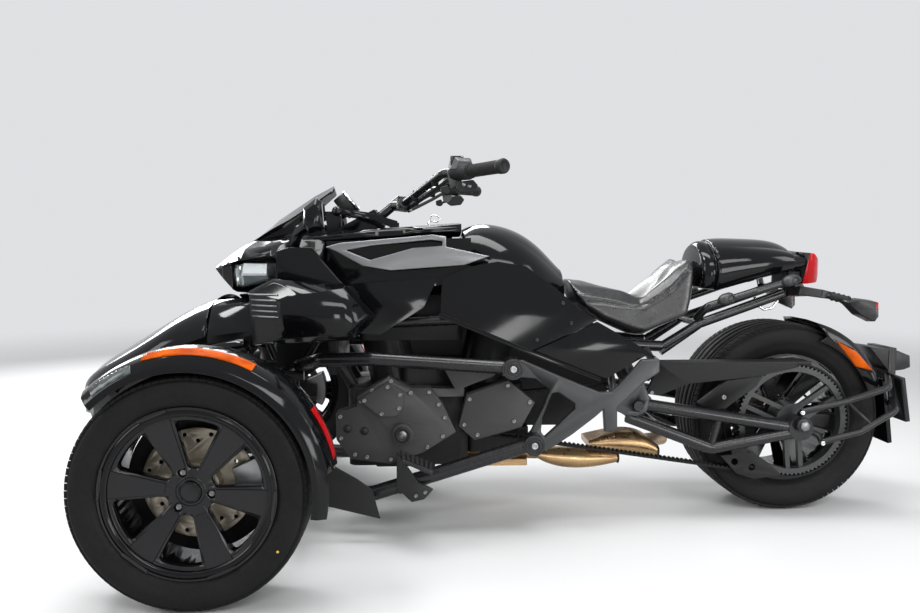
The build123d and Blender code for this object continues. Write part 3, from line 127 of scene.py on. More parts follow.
def makeStudio(s):
    scene = bpy.context.scene
    scene.view_settings.view_transform = "Standard"
    floorMesh = bpy.data.meshes.new("studioFloor")
    half = s["floorSize"] / 2
    floorMesh.from_pydata([(-half, -half, 0), (half, -half, 0), (half, half, 0), (-half, half, 0)], [],
                          [(0, 1, 2, 3)])
    floor = linked("studioFloor", floorMesh)
    paint = bpy.data.materials.new("floorPaint")
    paint.use_nodes = True
    add, link = paint.node_tree.nodes.new, paint.node_tree.links.new
    shader = paint.node_tree.nodes["Principled BSDF"]
    shader.inputs["Base Color"].default_value = s["floorColour"]
    shader.inputs["Roughness"].default_value = s["floorRoughness"]
    shader.inputs["Specular IOR Level"].default_value = s["floorShine"]
    # far from the trike the floor takes the backdrop's own colour
    place, reach = add("ShaderNodeTexCoord"), add("ShaderNodeVectorMath")
    reach.operation = "LENGTH"
    fade = add("ShaderNodeMapRange")
    fade.interpolation_type = "SMOOTHSTEP"
    fade.inputs["From Min"].default_value, fade.inputs["From Max"].default_value = s["fade"]
    glow = add("ShaderNodeEmission")
    glow.inputs["Color"].default_value = s["backdropColour"]
    both = add("ShaderNodeMixShader")
    link(place.outputs["Object"], reach.inputs[0])
    link(reach.outputs["Value"], fade.inputs["Value"])
    link(fade.outputs["Result"], both.inputs["Fac"])
    link(shader.outputs["BSDF"], both.inputs[1])
    link(glow.outputs["Emission"], both.inputs[2])
    link(both.outputs["Shader"], paint.node_tree.nodes["Material Output"].inputs["Surface"])
    floorMesh.materials.append(paint)

    # the sky lights the trike, and eyes, gloss and glass see the backdrop instead
    world = bpy.data.worlds.new("studioSky")
    scene.world = world
    world.use_nodes = True
    tree = world.node_tree
    tree.nodes.clear()
    add, link = tree.nodes.new, tree.links.new
    output = add("ShaderNodeOutputWorld")
    lightSky, seenSky = add("ShaderNodeBackground"), add("ShaderNodeBackground")
    lightSky.inputs["Color"].default_value = (1, 1, 1, 1)
    lightSky.inputs["Strength"].default_value = s["skyStrength"]
    seenSky.inputs["Color"].default_value = s["backdropColour"]
    seenSky.inputs["Strength"].default_value = 1.0
    ray = add("ShaderNodeLightPath").outputs
    either = worked(tree, "MAXIMUM", ray["Is Camera Ray"], ray["Is Glossy Ray"])
    mix = add("ShaderNodeMixShader")
    link(worked(tree, "MAXIMUM", either, ray["Is Transmission Ray"]), mix.inputs["Fac"])
    link(lightSky.outputs[0], mix.inputs[1])
    link(seenSky.outputs[0], mix.inputs[2])
    link(mix.outputs[0], output.inputs["Surface"])

    for name, place, target, sizeX, sizeY, watts in s["panels"]:
        data = bpy.data.lights.new(name, "AREA")
        data.shape = "RECTANGLE"
        data.size, data.size_y, data.energy = sizeX, sizeY, watts
        aimed(linked(name, data), place, target)


makeCamera(viewpoint)
makeStudio(studio)
print("camera and studio made")


# finishes: colour, roughness and metallic, then the shader's other sockets by the names below;
# vary is (noise scale, spread of the roughness), tint is (scale, other colour, amount, stretch) and
# grain is (scale, strength, distance, detail)
socketNames = {"shine": "Specular IOR Level", "clear": "Transmission Weight", "bend": "IOR",
               "coat": "Coat Weight", "glowColour": "Emission Color", "glow": "Emission Strength"}
rangeEnds = ("From Min", "From Max", "To Min", "To Max")
noiseRange = {"rough": (0.3, 0.7), "tint": (0.35, 0.65)}  # noise values that reach the ends of a range


class Finish:
    def __init__(self, name, colour, roughness, metallic=0.0, vary=None, tint=None, grain=None, **others):
        self.material = bpy.data.materials.new(name)
        self.material.use_nodes = True
        self.tree = self.material.node_tree
        self.link = self.tree.links.new
        shader = self.tree.nodes["Principled BSDF"].inputs
        shader["Base Color"].default_value = (*colour, 1)
        shader["Roughness"].default_value = roughness
        shader["Metallic"].default_value = metallic
        for word, value in others.items():
            shader[socketNames[word]].default_value = value
        if vary:
            scale, spread = vary
            self.link(self.ramp(self.noise(scale), roughness - spread, roughness + spread, "rough"),
                      shader["Roughness"])
        if tint:
            scale, other, amount, *stretch = tint
            mix = self.node("ShaderNodeMix")
            mix.data_type = "RGBA"
            mix.inputs["A"].default_value = (*colour, 1)
            mix.inputs["B"].default_value = (*other, 1)
            self.link(self.ramp(self.noise(scale, 4.0, *stretch), 0.0, amount, "tint"), mix.inputs["Factor"])
            self.link(mix.outputs["Result"], shader["Base Color"])
        if grain:
            scale, strength, distance, *detail = grain
            bump = self.node("ShaderNodeBump", Strength=strength, Distance=distance)
            self.link(self.noise(scale, *(detail or (3.0,))), bump.inputs["Height"])
            self.link(bump.outputs["Normal"], shader["Normal"])

    def node(self, kind, **inputs):
        made = self.tree.nodes.new(kind)
        for socket, value in inputs.items():
            made.inputs[socket].default_value = value
        return made

    def noise(self, scale, detail=4.0, stretch=(1, 1, 1)):
        place, mapping = self.node("ShaderNodeTexCoord"), self.node("ShaderNodeMapping", Scale=stretch)
        texture = self.node("ShaderNodeTexNoise", Scale=scale, Detail=detail)
        self.link(place.outputs["Object"], mapping.inputs["Vector"])
        self.link(mapping.outputs["Vector"], texture.inputs["Vector"])
        return texture.outputs["Fac"]

    def ramp(self, value, low, high, kind):
        made = self.node("ShaderNodeMapRange")
        for socket, number in zip(rangeEnds, (*noiseRange[kind], low, high)):
            made.inputs[socket].default_value = number
        self.link(value, made.inputs["Value"])
        return made.outputs["Result"]


bodyBlack = Finish("bodyBlack", (0.0024, 0.0025, 0.003), 0.10, shine=0.24, vary=(14, 0.03),
                   grain=(520, 0.012, 0.0002))
frameGrey = Finish("frameGrey", (0.034, 0.035, 0.036), 0.40, 0.25, vary=(60, 0.06),
                   grain=(900, 0.05, 0.0002))
bladeGrey = Finish("bladeGrey", (0.20, 0.205, 0.21), 0.34, 0.65, vary=(40, 0.06), grain=(900, 0.04, 0.0002))
coverGrey = Finish("coverGrey", (0.028, 0.028, 0.029), 0.50, shine=0.35, vary=(60, 0.06),
                   tint=(9, (0.036, 0.035, 0.034), 0.8), grain=(700, 0.22, 0.0004))
tubeBlack = Finish("tubeBlack", (0.007, 0.007, 0.008), 0.26, shine=0.42, vary=(40, 0.05),
                   grain=(700, 0.03, 0.0002))
frameBlack = Finish("frameBlack", (0.009, 0.009, 0.010), 0.38, shine=0.35, vary=(40, 0.07),
                    grain=(900, 0.06, 0.0002))
wheelBlack = Finish("wheelBlack", (0.010, 0.010, 0.011), 0.32, shine=0.3, vary=(50, 0.05))
tyreRubber = Finish("tyreRubber", (0.0065, 0.0065, 0.0064), 0.66, shine=0.16, vary=(90, 0.08),
                    tint=(16, (0.010, 0.010, 0.0095), 0.5), grain=(900, 0.14, 0.0003))
discSteel = Finish("discSteel", (0.40, 0.36, 0.29), 0.42, 0.75, vary=(240, 0.06),
                   tint=(40, (0.30, 0.26, 0.20), 0.6))
castSilver = Finish("castSilver", (0.36, 0.36, 0.37), 0.40, 0.9, vary=(80, 0.06), grain=(900, 0.08, 0.0003))
engineGrey = Finish("engineGrey", (0.010, 0.010, 0.011), 0.50, shine=0.25, vary=(70, 0.08),
                    grain=(900, 0.12, 0.0003))
trimBlack = Finish("trimBlack", (0.010, 0.010, 0.0105), 0.56, shine=0.24, vary=(60, 0.06),
                   grain=(1100, 0.22, 0.0003))
exhaustSteel = Finish("exhaustSteel", (0.46, 0.31, 0.155), 0.32, 0.9, vary=(60, 0.08),
                      tint=(7, (0.22, 0.13, 0.075), 0.8, (1, 1, 4)), grain=(700, 0.05, 0.0002))
amberLens = Finish("amberLens", (0.56, 0.095, 0.003), 0.30, shine=0.05, vary=(30, 0.03),
                   tint=(18, (0.24, 0.032, 0.002), 0.8))
redLens = Finish("redLens", (0.34, 0.004, 0.006), 0.16, shine=0.16, vary=(30, 0.03))
clearLens = Finish("clearLens", (0.85, 0.87, 0.88), 0.05, clear=0.85, bend=1.3, vary=(30, 0.02))
smokeScreen = Finish("smokeScreen", (0.022, 0.022, 0.025), 0.05, clear=0.55, bend=1.25, vary=(20, 0.02))
beltRubber = Finish("beltRubber", (0.008, 0.008, 0.008), 0.62, shine=0.2, vary=(120, 0.08),
                    grain=(900, 0.15, 0.0003))
gripRubber = Finish("gripRubber", (0.012, 0.012, 0.012), 0.66, shine=0.25, vary=(120, 0.06),
                    grain=(900, 0.20, 0.0003))
seatHide = Finish("seatHide", (0.012, 0.012, 0.013), 0.30, shine=0.55, vary=(60, 0.06),
                  grain=(620, 0.10, 0.0004, 4.0))
spokeSatin = Finish("spokeSatin", (0.009, 0.009, 0.010), 0.24, shine=0.30, vary=(30, 0.03))
rimGloss = Finish("rimGloss", (0.0025, 0.0025, 0.003), 0.10, shine=0.22, vary=(20, 0.03))
boltDark = Finish("boltDark", (0.20, 0.20, 0.205), 0.34, 0.85, vary=(90, 0.06))
chrome = Finish("chrome", (0.62, 0.62, 0.63), 0.10, 1.0, vary=(60, 0.04))
lampGlass = Finish("lampGlass", (0.90, 0.95, 0.96), 0.03, shine=0.3, clear=0.96, bend=1.16, vary=(24, 0.02))
stripGlass = Finish("stripGlass", (0.085, 0.098, 0.10), 0.12, shine=0.3, vary=(30, 0.04),
                    tint=(70, (0.02, 0.024, 0.025), 0.8))
# painted highlight: the reflector's faint white glow stands in for the light it gives back
reflectorPaintedGlow = Finish("reflectorPaintedGlow", (0.80, 0.82, 0.82), 0.22, glowColour=(0.9, 0.95, 0.95, 1),
                        glow=0.12, vary=(40, 0.05))
reflectorGrey = Finish("reflectorGrey", (0.36, 0.38, 0.38), 0.16, 0.9, vary=(30, 0.05))
lampTeal = Finish("lampTeal", (0.006, 0.022, 0.024), 0.08, coat=0.5, vary=(30, 0.03))
mirrorSilver = Finish("mirrorSilver", (0.78, 0.79, 0.80), 0.02, 1.0, vary=(10, 0.01))
podGrey = Finish("podGrey", (0.045, 0.046, 0.048), 0.44, vary=(60, 0.06), grain=(2000, 0.15, 0.0003))
dialWhite = Finish("dialWhite", (0.72, 0.73, 0.74), 0.40, vary=(90, 0.05))
dotYellow = Finish("dotYellow", (0.55, 0.38, 0.03), 0.55, vary=(200, 0.06))

slotFinish = {
    "gloss_black": bodyBlack, "satin_grey": frameGrey, "frame_black": frameBlack, "tyre": tyreRubber,
    "wheel_black": wheelBlack, "disc_steel": discSteel, "caliper_silver": castSilver,
    "engine_dark": engineGrey, "trim_plastic": trimBlack, "hide": seatHide, "exhaust_metal": exhaustSteel,
    "amber_lens": amberLens, "red_lens": redLens, "clear_lens": clearLens, "smoke_screen": smokeScreen,
    "belt_rubber": beltRubber, "grip_rubber": gripRubber,
}
bothSides = (1, -1)
sideName = {1: "left", -1: "right"}
slotOf = {part["node"]: part["material_slot"] for part in frame["record"]["subparts"]}
bodyOf = {node: body for body, held in frame["record"]["behaviour"]["bodies"].items() for node in held}
nodeFinish = {
    "main_frame": tubeBlack, "swingarm": tubeBlack, "tail_frame": tubeBlack, "handlebar": tubeBlack,
    "tank_frames": bladeGrey, "console": bodyBlack, "engine_covers": coverGrey, "rear_fender": bodyBlack,
}


def finishOf(node):
    return nodeFinish.get(node, slotFinish[slotOf[node]])


for node in slotOf:
    nodes[node].data.materials.clear()
    nodes[node].data.materials.append(finishOf(node).material)
print("finishes made")


# shared making steps
def addPiece(name, mesh, finishes, body, slotName, standsFor=()):
    piece = linked(name, mesh)
    marks = [face.material_index for face in mesh.polygons]  # clearing the list would put them all at 0
    mesh.materials.clear()
    for finish in finishes:
        mesh.materials.append(finish.material)
    mesh.polygons.foreach_set("material_index", marks)
    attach(piece, body)
    if standsFor:
        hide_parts(*standsFor)
    return piece


# rounding of edges: angles in degrees, shares of the round's own width
rounding = {"flat": 0.6, "merge": 0.0001, "narrowest": 22, "shortest": 0.6, "segments": 2, "clampFrom": 0.8}
roundings = []  # piece, width


def surfaceTree(mesh):
    return BVHTree.FromPolygons([v.co for v in mesh.vertices], [p.vertices for p in mesh.polygons])


def mergedCopy(node):
    mesh = nodes[node].data.copy()
    shape = bmesh.new()
    shape.from_mesh(mesh)
    bmesh.ops.remove_doubles(shape, verts=shape.verts, dist=rounding["merge"])
    bmesh.ops.dissolve_limit(shape, angle_limit=math.radians(rounding["flat"]), verts=shape.verts,
                             edges=shape.edges)
    return mesh, shape


def narrow(line, vert):
    # another edge of the same face leaves the corner almost along this one
    run = line.other_vert(vert).co - vert.co
    for face in line.link_faces:
        for other in face.edges:
            if other is not line and vert in other.verts:
                if run.angle(other.other_vert(vert).co - vert.co, 0.0) < math.radians(rounding["narrowest"]):
                    return True
    return False


def weighEdges(shape, edge, angle, skip=None):
    # an edge is rounded where its faces turn enough and it is long enough to take the round
    layers = shape.edges.layers.float
    weight = layers.get("bevel_weight_edge") or layers.new("bevel_weight_edge")
    for line in shape.edges:
        if len(line.link_faces) != 2 or line.calc_length() < edge * rounding["shortest"]:
            continue
        if skip and any(skip(vert.co) for vert in line.verts):
            continue
        if any(narrow(line, vert) for vert in line.verts):
            continue
        if line.calc_face_angle(0.0) > math.radians(angle):
            line[weight] = 1.0


def softCopy(node, edge, finishes=None, rule=None, angle=28, cuts=(), skip=None):
    mesh, shape = mergedCopy(node)
    for place, normal in cuts:
        bmesh.ops.bisect_plane(shape, geom=shape.verts[:] + shape.edges[:] + shape.faces[:], plane_co=place,
                               plane_no=normal)
    for face in shape.faces:
        face.smooth = True
        face.material_index = rule(face.calc_center_median(), face.normal) if rule else 0
    weighEdges(shape, edge, angle, skip)
    shape.to_mesh(mesh)
    shape.free()
    finishes = finishes or [finishOf(node)]
    roundings.append((addPiece(node + "Finished", mesh, finishes, bodyOf[node], slotOf[node], (node,)), edge))


def roundEdges():
    # last of all, so that no live modifier slows the steps before it
    clamped = []
    for piece, edge in roundings:
        home = surfaceTree(piece.data)
        bevel = piece.modifiers.new("rounding", "BEVEL")
        bevel.width, bevel.segments = edge, rounding["segments"]
        bevel.limit_method = "WEIGHT"
        bevel.use_clamp_overlap = False
        bevel.harden_normals = True
        shown = piece.evaluated_get(bpy.context.evaluated_depsgraph_get())
        away = max(home.find_nearest(v.co)[3] for v in shown.to_mesh().vertices)
        shown.to_mesh_clear()
        if away > edge * rounding["clampFrom"]:  # the round would leave the surface
            bevel.use_clamp_overlap = True
            clamped.append("%s %.4f" % (piece.name, away))
    print("clamped rounds:", ", ".join(clamped))


# shared maker for small closed shapes; mark is the place of a face's finish in the piece's list
class Solid:
    def __init__(self):
        self.shape = bmesh.new()

    def sections(self, rings, mark=0, smooth=False, closed=False, foot=True):
        loops = [[self.shape.verts.new(point) for point in ring] for ring in rings]
        pairs = list(zip(loops, loops[1:])) + ([(loops[-1], loops[0])] if closed else [])
        count = len(loops[0])
        faces = [self.shape.faces.new((low[k], low[(k + 1) % count], high[(k + 1) % count], high[k]))
                 for low, high in pairs for k in range(count)]
        for face in faces:
            face.smooth = smooth
        if not closed:
            faces += [self.shape.faces.new(loops[0])] if foot else []
            faces.append(self.shape.faces.new(loops[-1][::-1] if foot else loops[-1]))
        for face in faces:
            face.material_index = mark
        return self

    def plate(self, outline, yFrom, yTo, mark=0):
        return self.sections([[(x, y, z) for x, z in outline] for y in (yFrom, yTo)], mark)

    def rod(self, points, radius, mark=0, sides=14, closed=False, flatten=1.0):
        line = [Vector(point) for point in points]
        radii = radius if isinstance(radius, (list, tuple)) else [radius] * len(line)
        count = len(line)
        ahead = [(line[(k + 1) % count if closed else min(k + 1, count - 1)]
                  - line[(k - 1) % count if closed else max(k - 1, 0)]).normalized() for k in range(count)]
        across = ahead[0].orthogonal().normalized()
        rings = []
        for k in range(count):
            if k:
                across = ahead[k - 1].rotation_difference(ahead[k]) @ across
            other = ahead[k].cross(across)
            rings.append([line[k] + radii[k] * (math.cos(a) * across + flatten * math.sin(a) * other)
                          for a in (2 * math.pi * step / sides for step in range(sides))])
        return self.sections(rings, mark, True, closed)

    def turned(self, centre, axis, profile, mark=0, steps=28):
        # profile: distance along the axis, radius; closed into a ring or, where the radius ends at 0, a knob
        axis = Vector(axis).normalized()
        across = axis.orthogonal().normalized()
        other = axis.cross(across)
        rings = [[Vector(centre) + axis * along + r * (math.cos(a) * across + math.sin(a) * other)
                  for along, r in profile] for a in (2 * math.pi * step / steps for step in range(steps))]
        return self.sections(rings, mark, True, True)

    def outward(self):
        bmesh.ops.recalc_face_normals(self.shape, faces=self.shape.faces)
        return self

    def mesh(self, name):
        made = bpy.data.meshes.new(name)
        self.shape.to_mesh(made)
        self.shape.free()
        return made

    def piece(self, name, finishes, body, slotName, edge=0.0):
        bmesh.ops.remove_doubles(self.shape, verts=self.shape.verts, dist=0.00001)
        self.outward()
        if edge:
            weighEdges(self.shape, edge, 30)
        made = addPiece(name, self.mesh(name), finishes, body, slotName)
        if edge:
            roundings.append((made, edge))


softEdges = {
    "upper_cowl": 0.004, "side_vents": 0.005, "side_covers": 0.004, "nose_fascia": 0.005, "hood_lid": 0.003,
    "tank_frames": 0.003, "tank_cover": 0.004, "console": 0.005, "mirrors": 0.006, "tail_cowl": 0.004,
    "splash_guards": 0.0015, "engine_covers": 0.002, "pivot_plates": 0.004, "belt_guard": 0.002,
    "rear_fender": 0.002, "plate_carrier": 0.002, "foot_pegs": 0.002, "front_caliper_left": 0.003,
    "front_caliper_right": 0.003, "rear_caliper": 0.003, "switch_gear": 0.003, "gauge_cluster": 0.003,
    "rear_signals": 0.004, "tail_light": 0.004, "front_fender_left": 0.0015, "front_fender_right": 0.0015,
    "engine": 0.004,
}
cowlEnd = 0.855  # the cowl's edges ahead of this stay sharp
tailSplit = {"place": Vector((-0.964, 0, 0.826)), "normal": Vector((-0.097, 0, -0.023)).normalized()}
signalSplit = {"back": -1.062, "height": 0.664}


# each rule says which finish of a part's list a face takes
def coverRule(place, normal):
    return 1 if place.z < 0.70 and abs(normal.y) < 0.5 else 0


def ventRule(place, normal):
    return 1 if place.x > 0.66 and normal.x > 0.40 else 0


def huggerRule(place, normal):
    return 1 if abs(place.y) > 0.1328 else 0


def tailRule(place, normal):
    return 1 if (place - tailSplit["place"]).dot(tailSplit["normal"]) > 0 else 0


def signalRule(place, normal):
    return 0 if place.x > signalSplit["back"] else 1 if place.z > signalSplit["height"] else 2


softRules = {  # finishes, rule, planes that cut the part where one finish ends
    "side_covers": ([bodyBlack, trimBlack], coverRule, ()),
    "side_vents": ([bodyBlack, trimBlack], ventRule, ()),
    "rear_fender": ([bodyBlack, amberLens], huggerRule, ()),
    "tail_light": ([trimBlack, redLens], tailRule, ((tailSplit["place"], tailSplit["normal"]),)),
    "rear_signals": ([frameBlack, redLens, stripGlass], signalRule,
                     (((signalSplit["back"], 0, 0), (1, 0, 0)), ((0, 0, signalSplit["height"]), (0, 0, 1)))),
}
for softNode, softWidth in softEdges.items():
    softFinishes, softRule, softCuts = softRules.get(softNode, (None, None, ()))
    softCopy(softNode, softWidth, softFinishes, softRule, cuts=softCuts,
             skip=(lambda place: place.x > cowlEnd) if softNode == "upper_cowl" else None)
print("edges softened")


# Geometry Nodes rows: the same small shape repeated along an arc or at listed places
def rowTree(name, inputs):
    tree = bpy.data.node_groups.new(name, "GeometryNodeTree")
    tree.interface.new_socket("Geometry", in_out="OUTPUT", socket_type="NodeSocketGeometry")
    for label, kind in inputs:
        tree.interface.new_socket(label, in_out="INPUT", socket_type="NodeSocket" + kind)
    return tree, tree.nodes.new("NodeGroupInput"), tree.nodes.new("NodeGroupOutput")


def finishTree(tree, output, instances, source):
    real = tree.nodes.new("GeometryNodeRealizeInstances")
    paint = tree.nodes.new("GeometryNodeSetMaterial")
    tree.links.new(instances, real.inputs[0])
    tree.links.new(real.outputs[0], paint.inputs["Geometry"])
    tree.links.new(source.outputs["Finish"], paint.inputs["Material"])
    tree.links.new(paint.outputs["Geometry"], output.inputs["Geometry"])


def makeArcTree():
    tree, source, output = rowTree("arcRow", (
        ("Shape", "Object"), ("Count", "Int"), ("Radius", "Float"), ("Start", "Float"), ("Step", "Float"),
        ("Centre", "Vector"), ("Finish", "Material")))
    add, link, given = tree.nodes.new, tree.links.new, source.outputs
    line = add("GeometryNodeMeshLine")
    line.inputs["Offset"].default_value = (0, 0, 0)
    index = add("GeometryNodeInputIndex")
    turn = worked(tree, "MULTIPLY_ADD", index.outputs[0], given["Step"], given["Start"])
    spot, lean = add("ShaderNodeCombineXYZ"), add("ShaderNodeCombineXYZ")
    for operation, axis in (("COSINE", "X"), ("SINE", "Z")):
        link(worked(tree, "MULTIPLY", worked(tree, operation, turn), given["Radius"]), spot.inputs[axis])
    link(worked(tree, "MULTIPLY", turn, -1.0), lean.inputs["Y"])
    shift = add("ShaderNodeVectorMath")
    shift.operation = "ADD"
    place, shape = add("GeometryNodeSetPosition"), add("GeometryNodeObjectInfo")
    copies = add("GeometryNodeInstanceOnPoints")
    link(given["Count"], line.inputs["Count"])
    link(spot.outputs[0], shift.inputs[0])
    link(given["Centre"], shift.inputs[1])
    link(line.outputs["Mesh"], place.inputs["Geometry"])
    link(shift.outputs["Vector"], place.inputs["Position"])
    link(place.outputs["Geometry"], copies.inputs["Points"])
    link(given["Shape"], shape.inputs["Object"])
    link(shape.outputs["Geometry"], copies.inputs["Instance"])
    link(lean.outputs[0], copies.inputs["Rotation"])
    finishTree(tree, output, copies.outputs["Instances"], source)
    return tree


def makeSpotTree():
    tree, source, output = rowTree("spotRow", (
        ("Shape", "Object"), ("Spots", "Object"), ("Finish", "Material")))
    add, link = tree.nodes.new, tree.links.new
    spots, shape = add("GeometryNodeObjectInfo"), add("GeometryNodeObjectInfo")
    copies = add("GeometryNodeInstanceOnPoints")
    facing, size = add("GeometryNodeInputNamedAttribute"), add("GeometryNodeInputNamedAttribute")
    facing.data_type = "FLOAT_VECTOR"
    facing.inputs["Name"].default_value = "facing"
    size.data_type = "FLOAT"
    size.inputs["Name"].default_value = "headSize"
    turned = add("FunctionNodeAlignRotationToVector")
    turned.axis = "Y"
    link(facing.outputs["Attribute"], turned.inputs["Vector"])
    link(source.outputs["Spots"], spots.inputs["Object"])
    link(source.outputs["Shape"], shape.inputs["Object"])
    link(spots.outputs["Geometry"], copies.inputs["Points"])
    link(shape.outputs["Geometry"], copies.inputs["Instance"])
    link(turned.outputs["Rotation"], copies.inputs["Rotation"])
    link(size.outputs["Attribute"], copies.inputs["Scale"])
    finishTree(tree, output, copies.outputs["Instances"], source)
    return tree


arcTree, spotTree = makeArcTree(), makeSpotTree()


def plainMesh(piece):
    return bpy.data.meshes.new_from_object(piece.evaluated_get(bpy.context.evaluated_depsgraph_get()))


def grown(tree, values, name, finish, pattern, body=None, slotName=None):
    # runs the tree on an empty mesh and keeps the result as a plain mesh, made a piece where a body is given
    holder = linked(name + "Maker", bpy.data.meshes.new(name + "Maker"))
    shape = linked(name + "Shape", pattern)
    values = {**values, "Shape": shape, "Finish": finish.material}
    maker = holder.modifiers.new("maker", "NODES")
    maker.node_group = tree
    for item in tree.interface.items_tree:
        if item.in_out == "INPUT":
            maker[item.identifier] = values[item.name]
    made = plainMesh(holder)
    made.name = name
    for helper in (holder, shape):
        bpy.data.objects.remove(helper)
    if body:
        addPiece(name, made, [finish], body, slotName)
    return made


# tyres: lathed carcass with cut rings, shoulder blocks grown round it
tyreShape = {
    "steps": 150,
    "blocks": 96,
    "grooveDepth": 0.005,
    "crown": 0.0035,  # fall from the middle to the tread's edge
    "ringGrooves": (0.16, 0.46),  # shares of the half width
    "grooveHalf": 0.0035,
    "flank": ((0.30, 0.05), (0.62, 0.17), (0.66, 0.19), (0.90, 0.40), (0.93, 0.415)),
    "shoulder": ((0.88, 0.0085), (0.80, 0.0040), (0.66, 0.0018), (0.60, 0.0015)),
    # share of the half width, height over the tread
    "blockOutline": ((0.64, -0.0014), (0.76, -0.0022), (0.85, -0.0042), (0.91, -0.0080), (0.90, -0.0140),
                     (0.64, -0.012)),
    "blockLong": 0.445,  # half length as a share of the pitch
    "blockSlant": 0.030,
    "narrow": 0.1,  # half width under which the bead is the front tyre's
    "beadFront": 0.019, "beadRear": 0.0235,  # from the tyre's side in to the rim
}


def tyreProfile(shape, half, bead, rimR, outerR):
    # (y, radius) from the bead over the flank to the middle, then mirrored
    rise, span, depth = outerR - rimR, half - bead, shape["grooveDepth"]
    near = [(bead - 0.002, rimR - 0.0150), (bead, rimR - 0.001)]
    near += [(bead + share * span, rimR + up * rise) for share, up in shape["flank"]]
    near += [(half - 0.0004, rimR + 0.56 * rise), (half - 0.0004, rimR + 0.62 * rise),
             (0.985 * half, rimR + 0.74 * rise), (0.955 * half, rimR + 0.80 * rise)]
    near += [(share * half, outerR - depth - drop) for share, drop in shape["shoulder"]]
    near.append((0.595 * half, outerR - 0.0015))
    for share in shape["ringGrooves"][::-1]:
        y = share * half
        r = outerR - shape["crown"] * share * share
        near += [(y + shape["grooveHalf"], r), (y + shape["grooveHalf"] - 0.001, r - depth),
                 (y - shape["grooveHalf"] + 0.001, r - depth), (y - shape["grooveHalf"], r)]
    return near + [(-y, r) for y, r in near[::-1]]


def shoulderBlock(shape, half, outerR):
    # local X points away from the axle, Z runs round the tyre
    long = 2 * math.pi * outerR / shape["blocks"] * shape["blockLong"]
    inner = shape["blockOutline"][0][0]
    block = Solid()
    for sign, shift in ((1, 0.0), (-1, long * 1.25)):
        block.sections([[(up, sign * share * half, z + shift + (share - inner) * shape["blockSlant"])
                         for share, up in shape["blockOutline"]] for z in (-long, long)])
    return block.outward().mesh("shoulderBlock")


def middleOf(node):
    low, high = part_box(node)
    return tuple((a + b) / 2 for a, b in zip(low, high)), [(b - a) / 2 for a, b in zip(low, high)]


def makeTyre(node, shape):
    centre, (_, half, outerR) = middleOf(node)
    rimR = middleOf(node.replace("tyre", "rim"))[1][2] - 0.001
    bead = half - (shape["beadFront"] if half < shape["narrow"] else shape["beadRear"])
    rings = [[(centre[0] + r * math.cos(a), centre[1] + y, centre[2] + r * math.sin(a))
              for y, r in tyreProfile(shape, half, bead, rimR, outerR)]
             for a in (2 * math.pi * step / shape["steps"] for step in range(shape["steps"]))]
    carcass = Solid().sections(rings, 0, True, True).outward().mesh(node + "Carcass")
    blocks = grown(arcTree, {"Count": shape["blocks"], "Radius": outerR, "Start": 0.0,
                             "Step": 2 * math.pi / shape["blocks"], "Centre": centre},
                   node + "Blocks", tyreRubber, shoulderBlock(shape, half, outerR))
    whole = bmesh.new()
    whole.from_mesh(carcass)
    whole.from_mesh(blocks)
    whole.to_mesh(carcass)
    whole.free()
    addPiece(node + "Tread", carcass, [tyreRubber], bodyOf[node], "tyre", (node,))


for tyreNode in ("front_tyre_left", "front_tyre_right", "rear_tyre"):
    makeTyre(tyreNode, tyreShape)
print("tyres made")


# wheels: satin spoke faces, gloss black windows and barrel
def makeRim(node, outward):
    def rule(place, normal):
        if abs(normal.y) < 0.72:  # walls of the windows and the barrel
            return 1
        return 0 if outward == 0 or normal.y * outward > 0 else 1

    softCopy(node, 0.0022, [spokeSatin, rimGloss], rule, angle=24)


for rimNode, outward in (("front_rim_left", 1), ("front_rim_right", -1), ("rear_rim", 0)):
    makeRim(rimNode, outward)
for discNode in ("front_brake_disc_left", "front_brake_disc_right", "rear_brake_disc"):
    softCopy(discNode, 0.0006, [discSteel])
print("wheels and discs made")


# raised satin pads that run along each spoke and over the rim's edge: radius, half width, height
frontPad = ((0.058, 0.0165, 0.0458), (0.184, 0.0365, 0.0630), (0.2010, 0.0400, 0.0738))
spokePads = {
    "spokes": 6, "start": 8, "rise": 0.0016, "sink": 0.004,
    "rims": (("front_rim_left", (1,), frontPad), ("front_rim_right", (-1,), frontPad),
             ("rear_rim", (1, -1), ((0.062, 0.0180, 0.0505), (0.182, 0.0290, 0.0770),
                                    (0.2010, 0.0300, 0.0992)))),
}


def makeSpokePads(p):
    for node, sides, stations in p["rims"]:
        pad = Solid()
        for side in sides:
            pad.sections([[(r, side * up, across) for across, up in (
                (-half, y - p["sink"]), (-half + 0.004, y + p["rise"]), (half - 0.004, y + p["rise"]),
                (half, y - p["sink"]))] for r, half, y in stations])
        grown(arcTree, {"Count": p["spokes"], "Radius": 0.0, "Start": math.radians(p["start"]),
                        "Step": math.radians(360 / p["spokes"]),
                        "Centre": middleOf(node.replace("rim", "tyre"))[0]},
              node + "Pads", spokeSatin, pad.outward().mesh("spokePad"), bodyOf[node], "wheel_black")


makeSpokePads(spokePads)
print("spoke pads made")


# fasteners: a socket head at every listed place; its outline is radius and height, open below
socketOutline = ((1.0, 0.0), (1.0, 0.55), (0.88, 0.72), (0.52, 0.72), (0.46, 0.34))


